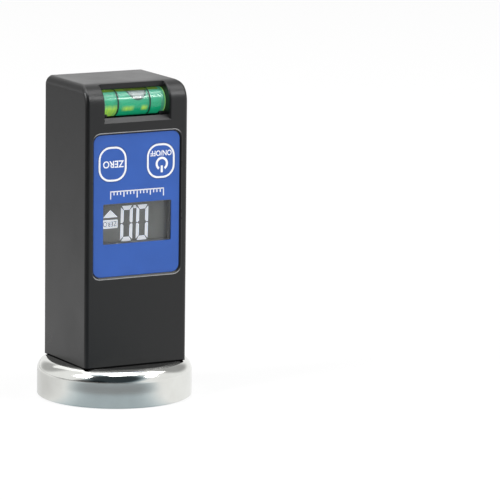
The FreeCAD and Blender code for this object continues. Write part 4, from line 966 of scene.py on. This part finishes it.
def wire(along: float, radius: float, half: float) -> list[tuple[float, float]]:
    """Round profile of a thin ring, for the lathe.

    Args:
        along: Place of the ring along the axis, in metres.
        radius: Radius of the ring's middle line, in metres.
        half: Half the wire's thickness, in metres.

    Returns:
        Distance along the axis and radius of each corner.
    """
    angles = (math.pi * step / 4 for step in range(8))
    return [(along + half * math.sin(angle), radius + half * math.cos(angle)) for angle in angles]


@dataclass
class MagnetBase(Assembly):
    """Steel cup, ferrite ring and the hub fixings in its recess."""

    line_radius: float = 27.0 * MM
    line_height: float = 0.22 * MM
    line_width: float = 0.16 * MM

    def make(self) -> None:
        """Dress the base and add the thin line of bare metal between ferrite and glue."""
        self.dress(NICKEL, "magnet_cup")
        self.dress(FERRITE, "magnet_ring")
        self.dress(GLUE, "magnet_glue")
        self.dress(TURNED, "hub_disc")
        self.dress(ZINC, "hub_washer", "hub_screw", "hub_nut")
        ring = wire(self.line_height, self.line_radius, self.line_width / 2)
        piece = lathe(ring, UP, Vector((0, 0, 0)), steps=128)
        self.keep("magnet_edge_line", piece, BRIGHT_LINE, "nickel_cup")


@dataclass
class Case(Assembly):
    """Moulded case, rear cover and its screws."""

    head: float = 2.25 * MM
    blade: float = 0.62 * MM
    reach: float = 2.7 * MM
    shoulder: float = 0.8
    depth: float = 0.02 * MM
    first_turn: float = 23.0
    turn_per_metre: float = 4000.0

    def make(self) -> None:
        """Dress the case, cover and screws, and put a flat cross of painted shadow on each screw where its
        cross recess would be.
        """
        self.dress(CASE, "housing", "rear_cover")
        self.dress(ZINC, "cover_screws")
        low, high = base("cover_screws")
        crosses = []
        for x in (low.x + self.head, high.x - self.head):
            for z in (low.z + self.head, high.z - self.head):
                turn = Matrix.Rotation(math.radians(self.first_turn + self.turn_per_metre * x), 4, "Z")
                crosses.append(moved(self.cross(), facing(x, high.y, z, BACK) @ turn))
        # Painted shadow: thin dark crosses stand for the shade inside the screws' cross recesses.
        self.keep("cover_screw_recess_shadows", merged(crosses), RECESS_SHADOW, "zinc_steel")

    def cross(self) -> Mesh:
        """Cross with pointed arms, about the origin."""
        w, r = self.blade / 2, self.reach / 2
        arm = ((w, w), (w, r * self.shoulder), (0, r), (-w, r * self.shoulder))
        corners = []
        for quarter in range(4):
            turn = Matrix.Rotation(math.pi / 2 * quarter, 2)
            corners += [tuple(turn @ Vector(point)) for point in arm]
        return raised(polygon(corners), self.depth)


@dataclass
class Door(Assembly):
    """Battery door on the back."""

    def make(self) -> None:
        """Dress the door."""
        self.dress(CASE, "battery_door")


@dataclass
class Panel(Assembly):
    """Blue panel and what is printed on it, apart from the keys."""

    ink: float = 0.015 * MM
    scale_width: float = 22.6 * MM
    scale_middle: float = 0.25 * MM
    scale_height: float = 82.3 * MM
    scale_steps: int = 16
    stroke: float = 0.42 * MM
    long_tick: float = 2.9 * MM
    middle_tick: float = 2.2 * MM
    short_tick: float = 1.4 * MM
    lip_gap: float = 0.62 * MM
    lip_width: float = 0.34 * MM
    lip_corner: float = 3.6 * MM

    def make(self) -> None:
        """Dress the panel, print the tick scale and add the pocket's lip."""
        self.dress(FILM, "overlay_panel")
        self.tick_scale()
        self.lip()

    def lip(self) -> None:
        """Fine line round the pocket, on the case's front face, with a painted highlight along its top and
        bottom.
        """
        low, high = base("overlay_panel")
        grow = 2 * (self.lip_gap + self.lip_width)
        ring = outline_plate(high.x - low.x + grow, high.z - low.z + grow, self.lip_corner, self.lip_width)
        place = facing(0, base("housing")[0].y, (low.z + high.z) / 2)
        self.keep("panel_pocket_lip", moved(raised(ring, self.ink), place), RIM, "black_case")

    def tick_scale(self) -> None:
        """Short scale of ticks with longer ones at the middle and the ends."""
        strokes = []
        for step in range(self.scale_steps + 1):
            x = (step / self.scale_steps - 0.5) * self.scale_width
            height = (self.long_tick if step % 8 == 0 else self.middle_tick if step % 4 == 0
                      else self.short_tick)
            stroke = round_plate(self.stroke, height, 0)
            strokes.append(moved(stroke, Matrix.Translation((x, height / 2, 0))))
        strokes.append(round_plate(self.scale_width + self.stroke, self.stroke, 0))
        place = facing(self.scale_middle, base("overlay_panel")[0].y, self.scale_height)
        piece = moved(raised(merged(strokes), self.ink), place)
        self.keep("panel_tick_scale", piece, WHITE_INK, "blue_panel")


@dataclass
class Key(Assembly):
    """One key with its printed outline and word.

    Args:
        node: CAD node of the key pad.
        stem: CAD node of its plunger.
    """

    node: str = "zero_key"
    stem: str = "zero_plunger"
    line: float = 0.75 * MM
    edge: float = 0.06 * MM
    corner: float = 5.0 * MM
    ink: float = 0.015 * MM
    word: str = "ZERO"
    word_height: float = 2.75 * MM
    word_width: float = 8.9 * MM
    word_weight: float = 0.02
    word_place: tuple[float, float] = (0.38 * MM, -0.1 * MM)

    def make(self) -> None:
        """Dress the key and print its outline and word."""
        self.dress(FILM, self.node)
        self.dress(STEM, self.stem)
        low, high = base(self.node)
        width, height = high.x - low.x - 2 * self.edge, high.z - low.z - 2 * self.edge
        self.print("outline", outline_plate(width, height, self.corner - self.edge, self.line))
        letters = lettering(self.word, self.word_height, self.word_width, self.word_weight)
        self.print("legend", letters, *self.word_place)

    def print(self, what: str, flat: Mesh, x: float = 0.0, z: float = 0.0) -> None:
        """Put a flat print on the key.

        Args:
            what: What it shows, for its name.
            flat: Its flat mesh about the origin.
            x: Place across from the key's middle, in metres.
            z: Height above the key's middle, in metres.
        """
        centre = middle(self.node)
        place = facing(centre.x + x, base(self.node)[0].y, centre.z + z)
        self.keep(f"{self.node}_{what}", moved(raised(flat, self.ink), place), WHITE_INK, "blue_key")


@dataclass
class PowerKey(Key):
    """Key with the standby sign and ON/OFF."""

    word: str = "ON/OFF"
    word_height: float = 2.15 * MM
    word_width: float = 9.1 * MM
    word_place: tuple[float, float] = (0.05 * MM, 2.95 * MM)
    sign_radius: float = 2.2 * MM
    sign_line: float = 0.9 * MM
    sign_gap: float = 66.0
    sign_place: tuple[float, float] = (0.43 * MM, -1.15 * MM)
    bar_length: float = 2.7 * MM
    bar_middle: float = 2.05 * MM
    bar_corner: float = 0.2 * MM

    def make(self) -> None:
        """Dress and print the key, and add the standby sign."""
        super().make()
        gap = math.radians(self.sign_gap)
        ring = bmesh.new()
        start = Matrix.Rotation(math.pi / 2 + gap / 2, 3, "Z")
        ends = [
            ring.verts.new(start @ Vector((self.sign_radius + side * self.sign_line / 2, 0, 0)))
            for side in (-1, 1)
        ]
        stroke = ring.edges.new(ends)
        bmesh.ops.spin(ring, geom=[*ends, stroke], cent=(0, 0, 0), axis=(0, 0, 1), angle=2 * math.pi - gap,
                       steps=32)
        bar = round_plate(self.sign_line, self.bar_length, self.bar_corner)
        sign = merged([ring, moved(bar, Matrix.Translation((0, self.bar_middle, 0)))])
        self.print("sign", sign, *self.sign_place)


@dataclass
class Display(Assembly):
    """Liquid crystal display behind its clear pane."""

    segment: float = 1.25 * MM
    cap: float = 1.6 * MM
    gap: float = 0.16 * MM
    slope: float = 0.45 * MM
    digit_width: float = 5.1 * MM
    digit_height: float = 13.6 * MM
    digit_places: tuple[float, float] = (-2.8 * MM, 3.85 * MM)
    digit_level: float = 69.2 * MM
    slant: float = 0.022
    lift: float = 0.02 * MM
    point: float = 1.15 * MM
    point_place: tuple[float, float] = (0.68 * MM, 75.4 * MM)
    arrow_half: float = 3.1 * MM
    arrow_length: float = 2.9 * MM
    arrow_place: tuple[float, float] = (-9.75 * MM, 71.9 * MM)
    badge_width: float = 6.6 * MM
    badge_height: float = 3.3 * MM
    badge_place: tuple[float, float] = (-9.9 * MM, 69.35 * MM)
    word_height: float = 1.9 * MM
    word_width: float = 5.8 * MM
    corner: float = 0.3 * MM
    gasket_line: float = 0.22 * MM
    gasket_room: float = 0.05 * MM
    gasket_corner: float = 0.55 * MM

    def make(self) -> None:
        """Dress the display, line its opening and light its segments."""
        self.gasket()
        self.dress(PANE, "display_window")
        self.dress(LCD, "display_glass")
        self.dress(CASE_INNER, "display_frame")
        self.dress(STRIP, "display_connectors")
        point = raised(round_plate(self.point, self.point, self.corner), self.lift)
        digits = [self.placed(self.digit(), (x, self.digit_level)) for x in self.digit_places]
        reading = merged([*digits, self.placed(point, self.point_place)])
        self.keep("display_digits", reading, LIT, "display_cell")
        arrow = polygon(((-self.arrow_half, 0), (self.arrow_half, 0), (0, -self.arrow_length)))
        badge = round_plate(self.badge_width, self.badge_height, self.corner)
        marks = merged([
            self.placed(raised(arrow, self.lift), self.arrow_place),
            self.placed(raised(badge, self.lift), self.badge_place),
        ])
        self.keep("display_marks", marks, LIT, "display_cell")
        letters = raised(lettering("ZERO", self.word_height, self.word_width), self.lift / 2)
        self.keep("display_badge_letters", self.placed(letters, self.badge_place, self.lift), GREY_INK,
                  "display_cell")

    def gasket(self) -> None:
        """Foam gasket that lines the opening between the pane and the cell, with a painted glow."""
        low, high = base("display_window")
        front = base("display_glass")[0].y
        ring = outline_plate(high.x - low.x, high.z - low.z, self.gasket_corner, self.gasket_line)
        place = facing((low.x + high.x) / 2, front - self.gasket_room, (low.z + high.z) / 2)
        piece = moved(raised(ring, front - high.y - 2 * self.gasket_room), place)
        self.keep("display_gasket", piece, FOAM, "black_glue")

    @staticmethod
    def placed(piece: Mesh, place: tuple[float, float], out: float = 0.0) -> Mesh:
        """The same mesh at a place on the cell's front, or a little in front of it."""
        return moved(piece, facing(place[0], base("display_glass")[0].y - out, place[1]))

    def digit(self) -> Mesh:
        """The six segments of a nought, about the origin."""
        w, h, t, g = self.digit_width / 2, self.digit_height / 2, self.segment, self.gap
        upper = ((-w, h - self.slope - g), (-w, g * 2), (-w + t / 2, g), (-w + t, g * 2 + t / 3),
                 (-w + t, h - self.cap - g))
        cap = ((-w + self.slope, h), (w - self.slope, h), (w - t - g, h - self.cap),
               (-w + t + g, h - self.cap))
        shapes = [tuple((x * turn_x, y * turn_y) for x, y in upper)
                  for turn_x in (-1, 1) for turn_y in (-1, 1)]
        shapes += [tuple((x, y * turn_y) for x, y in cap) for turn_y in (-1, 1)]
        piece = raised(merged([polygon(shape) for shape in shapes]), self.lift)
        for vert in piece.verts:
            vert.co.x += vert.co.y * self.slant
        return piece


@dataclass
class Vial(Assembly):
    """Level vial: rod, plugs, lines, fluid and the bubble that runs in it."""

    fluid_radius: float = 4.05 * MM
    fluid_room: float = 0.02 * MM
    bubble_skin: float = 0.025 * MM
    bubble_room: float = 0.01 * MM
    bubble_reach: float = 1.35
    end_round: float = 0.5 * MM
    ring_inset: float = 0.36 * MM
    ring_half: float = 0.13 * MM

    def make(self) -> None:
        """Fill the tube; its wall and fluid bend light alike, so the tube is shown without a bore."""
        self.dress(PLUG, "vial_plugs")
        self.dress(LINE_INK, "vial_lines")
        self.tube()
        self.end_rings()
        self.fluid()
        self.bubble()

    def end_rings(self) -> None:
        """Ring of painted glow at both ends of the tube, just under its surface."""
        low, high = base("vial_barrel")
        half, radius = (high.x - low.x) / 2 - self.ring_inset, (high.z - low.z) / 2 - self.ring_inset
        rings = [lathe(wire(side * half, radius, self.ring_half), ACROSS, (low + high) / 2, steps=96)
                 for side in (-1, 1)]
        self.keep("vial_end_rings", merged(rings), END_GLOW, "vial_clear")

    def tube(self) -> None:
        """Clear rod with round ends that holds the fluid."""
        low, high = base("vial_barrel")
        half, radius, r = (high.x - low.x) / 2, (high.z - low.z) / 2, self.end_round
        corner = [(half - r + r * math.sin(a), radius - r + r * math.cos(a))
                  for a in (math.pi / 12 * step for step in range(7))]
        profile = [(-half, 0), *((-x, y) for x, y in reversed(corner)), *corner, (half, 0)]
        piece = lathe(profile, ACROSS, (low + high) / 2, steps=96)
        self.keep("vial_tube_clear", piece, ACRYLIC, "vial_clear", replaces=("vial_barrel",))

    def fluid(self) -> None:
        """Fluid between the plugs."""
        low, high = base("vial_fluid")
        half, radius = (high.x - low.x) / 2 - self.fluid_room, self.fluid_radius
        profile = ((-half, 0), (half, 0), (half, radius), (-half, radius))
        piece = lathe(profile, ACROSS, middle("vial_barrel"))
        self.keep("vial_fluid_fill", piece, FLUID, "vial_green", replaces=("vial_fluid",))

    def bubble(self) -> None:
        """Bubble against the top of the bore, as the lens that shows through the tube."""
        low, high = base("vial_bubble")
        centre = middle("vial_barrel")
        across, half = (low.x + high.x) / 2, (high.x - low.x) / 2
        radius = self.fluid_radius + self.bubble_skin + self.bubble_room
        piece = bmesh.new()
        bmesh.ops.create_uvsphere(piece, u_segments=64, v_segments=32, radius=1.0)
        for vert in piece.verts:
            along, side, out = vert.co
            angle, reach = side * self.bubble_reach, radius + out * self.bubble_skin
            vert.co = (across + along * half, centre.y + reach * math.sin(angle),
                       centre.z + reach * math.cos(angle))
        air = AirBubble("bubble_air", middle=(across, centre.y, centre.z), half=half,
                        reach=self.bubble_reach)
        self.keep("vial_bubble_air", piece, air, "vial_air", replaces=("vial_bubble",), body=Body.BUBBLE)


@dataclass
class Works(Assembly):
    """Board, switches, sensor, cells and contacts inside the case."""

    def make(self) -> None:
        """Dress the works."""
        self.dress(BOARD, "circuit_board")
        self.dress(ZINC, "board_screws")
        self.dress(TIN, "clock_crystal", "contact_plates", "battery_springs")
        self.dress(CHIP, "tilt_sensor", "controller_chip")
        self.dress(SWITCH, "power_switch", "zero_switch")
        for node in ("battery_left", "battery_right"):
            low, high = base(node)
            self.dress(CellJacket(f"{node}_jacket", low=low.z, high=high.z), node)


@dataclass(frozen=True)
class Lamp:
    """Square soft lamp that points at the gauge and that the camera doesn't see.

    Args:
        name: Name of the lamp.
        azimuth: Direction in degrees, 0 in front and 90 at the left.
        elevation: Height above the horizon in degrees.
        side: Length of its sides, in metres.
        level: Brightness, where 1 is white.
        distance: Distance from the origin, in metres.
    """

    name: str
    azimuth: float
    elevation: float
    side: float
    level: float
    distance: float = 2.6

    def make(self) -> None:
        """Hang the lamp."""
        towards = heading(self.azimuth, self.elevation)
        data = bpy.data.lights.new(self.name, "AREA")
        data.shape = "SQUARE"
        data.size = self.side
        data.energy = self.level * math.pi * self.side * self.side
        lamp = bpy.data.objects.new(self.name, data)
        lamp.location = towards * self.distance
        lamp.rotation_mode = "QUATERNION"
        lamp.rotation_quaternion = (-towards).to_track_quat("-Z", "Y")
        lamp.visible_camera = False
        bpy.context.collection.objects.link(lamp)


@dataclass(frozen=True)
class Zone:
    """Soft part of the room that gloss sees darker, brighter or cooler.

    Args:
        azimuth: Direction of its middle in degrees, 0 in front and 90 at the left.
        elevation: Height of its middle in degrees.
        edge: Closeness at which it starts and is full.
        shade: Share that it takes from the brightness; below 0 it adds.
        cool: True if it is tinted.
        bands: Distances from the upright axis where it is none and full, in metres.
    """

    azimuth: float
    elevation: float
    edge: tuple[float, float]
    shade: float
    cool: bool = False
    bands: tuple[tuple[float, float], ...] = ()


LAMPS = (
    Lamp("top_lamp", 4.0, 79.0, 1.4, 3.8),
    Lamp("key_lamp", 84.0, 41.0, 0.9, 12.0),
    Lamp("strip_lamp", -37.0, 38.0, 0.6, 12.5),
    Lamp("fill_lamp", -69.0, 56.0, 1.0, 3.8),
    Lamp("back_lamp", 178.0, 50.0, 1.4, 0.7),
)
ROOM_ZONES = (
    Zone(27.0, 34.0, (0.62, 0.88), 0.95, cool=True),
    Zone(-105.0, 35.0, (0.85, 0.97), 0.6),
    Zone(163.0, 28.0, (0.86, 0.97), 0.5),
    Zone(60.0, 84.0, (0.89, 0.94), -1.2),
    Zone(62.0, -10.0, (0.82, 0.95), 0.95),
)
FLOOR_ZONES = (
    Zone(30.0, 0.0, (0.5, 0.98), 0.62, cool=True),
    Zone(130.0, 0.0, (0.0, 0.7), 0.65, bands=((0.15, 0.7),)),
    Zone(145.0, 0.0, (0.2, 0.9), 0.28, bands=((0.14, 0.09),)),
    Zone(57.0, 0.0, (0.3, 0.7), 1.0, bands=((0.1, 0.22),)),
    Zone(28.7, 0.0, (0.45, 0.9), 0.72, cool=True, bands=((0.053, 0.06), (0.08, 0.073))),
)


@dataclass
class Studio:
    """Floor, lamps, world and the camera at the photograph's angle."""

    azimuth: float = 0.5012
    elevation: float = 0.1795
    roll: float = 0.012
    distance: float = 1676.6 * MM
    focal: float = 4349.4
    centre: tuple[float, float] = (115.37, 240.19)
    target: float = 60.0 * MM
    picture: float = 500.0
    sensor: float = 36.0
    far_clip: float = 20.0
    even: float = 0.4
    white: Colour = (1.0, 1.0, 1.0)
    cool: Colour = (0.66, 0.88, 1.0)
    floor_colour: Colour = (0.93, 0.93, 0.93)
    floor_radius: float = 6.0
    floor_drop: float = 0.2 * MM
    floor_glow: float = 0.8

    def make(self) -> None:
        """Build the studio round the gauge."""
        self.camera()
        self.world()
        self.floor()
        for lamp in LAMPS:
            lamp.make()
        bpy.context.scene.view_settings.view_transform = "Standard"

    def camera(self) -> None:
        """Camera from the fit of the photograph, without shift."""
        back = heading(math.degrees(self.azimuth), math.degrees(self.elevation))
        right = Vector((math.cos(self.azimuth), -math.sin(self.azimuth), 0))
        up = back.cross(right)
        turned_right = math.cos(self.roll) * right + math.sin(self.roll) * up
        turned_up = math.cos(self.roll) * up - math.sin(self.roll) * right
        scale = self.distance / self.focal
        half = self.picture / 2
        place = (Vector((0, 0, self.target)) + self.distance * back
                 - (self.centre[0] - half) * scale * turned_right
                 - (half - self.centre[1]) * scale * turned_up)
        data = bpy.data.cameras.new("photo_camera")
        data.sensor_width = self.sensor
        data.lens = self.focal / self.picture * self.sensor
        data.clip_end = self.far_clip
        camera = bpy.data.objects.new("photo_camera", data)
        axes = Matrix((turned_right, turned_up, back)).transposed()
        camera.matrix_world = Matrix.Translation(place) @ axes.to_4x4()
        bpy.context.collection.objects.link(camera)
        bpy.context.scene.camera = camera

    def world(self) -> None:
        """Even light, with a white backdrop for what the camera, gloss and glass see."""
        world = bpy.data.worlds.new("studio")
        bpy.context.scene.world = world
        world.use_nodes = True
        tree = Tree(world.node_tree, "Generated")
        even = tree.nodes["Background"]
        even.inputs["Color"].default_value = (*self.white, 1.0)
        even.inputs["Strength"].default_value = self.even
        seen = tree.nodes.new("ShaderNodeBackground")
        self.seen_over(tree, even, seen, ROOM_ZONES, 1.0, tree.nodes["World Output"])

    def floor(self) -> None:
        """Plain white floor that keeps a soft shadow."""
        piece = bmesh.new()
        bmesh.ops.create_circle(piece, cap_ends=True, segments=64, radius=self.floor_radius)
        mesh = bpy.data.meshes.new("floor")
        piece.to_mesh(mesh)
        piece.free()
        floor = bpy.data.objects.new("floor", mesh)
        floor.location.z = -self.floor_drop
        bpy.context.collection.objects.link(floor)
        tree = Shader("floor_white")
        tree.set(Base_Color=self.floor_colour, Roughness=0.9, Specular_IOR_Level=0.0)
        glow = tree.nodes.new("ShaderNodeEmission")
        output = tree.nodes["Material Output"]
        self.seen_over(tree, tree.surface, glow, FLOOR_ZONES, self.floor_glow, output)
        mesh.materials.append(tree.material)

    def seen_over(self, tree: Tree, plain: bpy.types.Node, seen: bpy.types.Node, zones: Iterable[Zone],
                  share: float, output: bpy.types.Node) -> None:
        """Show camera, gloss and glass a bright surface, and the plain one to other rays.

        Args:
            tree: Node tree in hand.
            plain: Surface for the other rays.
            seen: Surface for camera, gloss and glass.
            zones: Zones that gloss sees in it.
            share: Share of the seen surface.
            output: The tree's output.
        """
        path = tree.nodes.new("ShaderNodeLightPath")
        glossy = path.outputs["Is Glossy Ray"]
        tint: object = 0.0
        strength: object = 1.0
        for zone in zones:
            bands = [tree.span(tree.radius(), *band) for band in zone.bands]
            part = tree.product(glossy, *bands, tree.towards(zone.azimuth, zone.elevation, zone.edge))
            strength = tree.product(strength, tree.less(part, zone.shade))
            if zone.cool:
                tint = tree.math("MAXIMUM", tint, part)
        tree.feed(seen.inputs["Color"], tree.blend(tint, self.white, self.cool))
        tree.feed(seen.inputs["Strength"], strength)
        rays = path.outputs["Is Camera Ray"]
        for key in ("Is Glossy Ray", "Is Transmission Ray"):
            rays = tree.math("MAXIMUM", rays, path.outputs[key])
        mix = tree.nodes.new("ShaderNodeMixShader")
        tree.feed(mix.inputs["Fac"], tree.product(rays, share))
        tree.feed(mix.inputs[1], plain.outputs[0])
        tree.feed(mix.inputs[2], seen.outputs[0])
        tree.feed(output.inputs["Surface"], mix.outputs[0])


def main() -> None:
    """Build every sub-assembly and the studio."""
    logging.basicConfig(level=logging.INFO, format="%(message)s")
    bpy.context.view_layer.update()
    groups: list[Assembly] = [
        MagnetBase(Body.GAUGE),
        Case(Body.GAUGE),
        Door(Body.DOOR),
        Panel(Body.GAUGE),
        Key(Body.ZERO_KEY, "zero_key", "zero_plunger"),
        PowerKey(Body.POWER_KEY, "power_key", "power_plunger"),
        Display(Body.GAUGE),
        Vial(Body.GAUGE),
        Works(Body.GAUGE),
    ]
    for group in groups:
        group.make()
    Studio().make()
    bpy.context.view_layer.update()


if __name__ == "__main__":
    main()
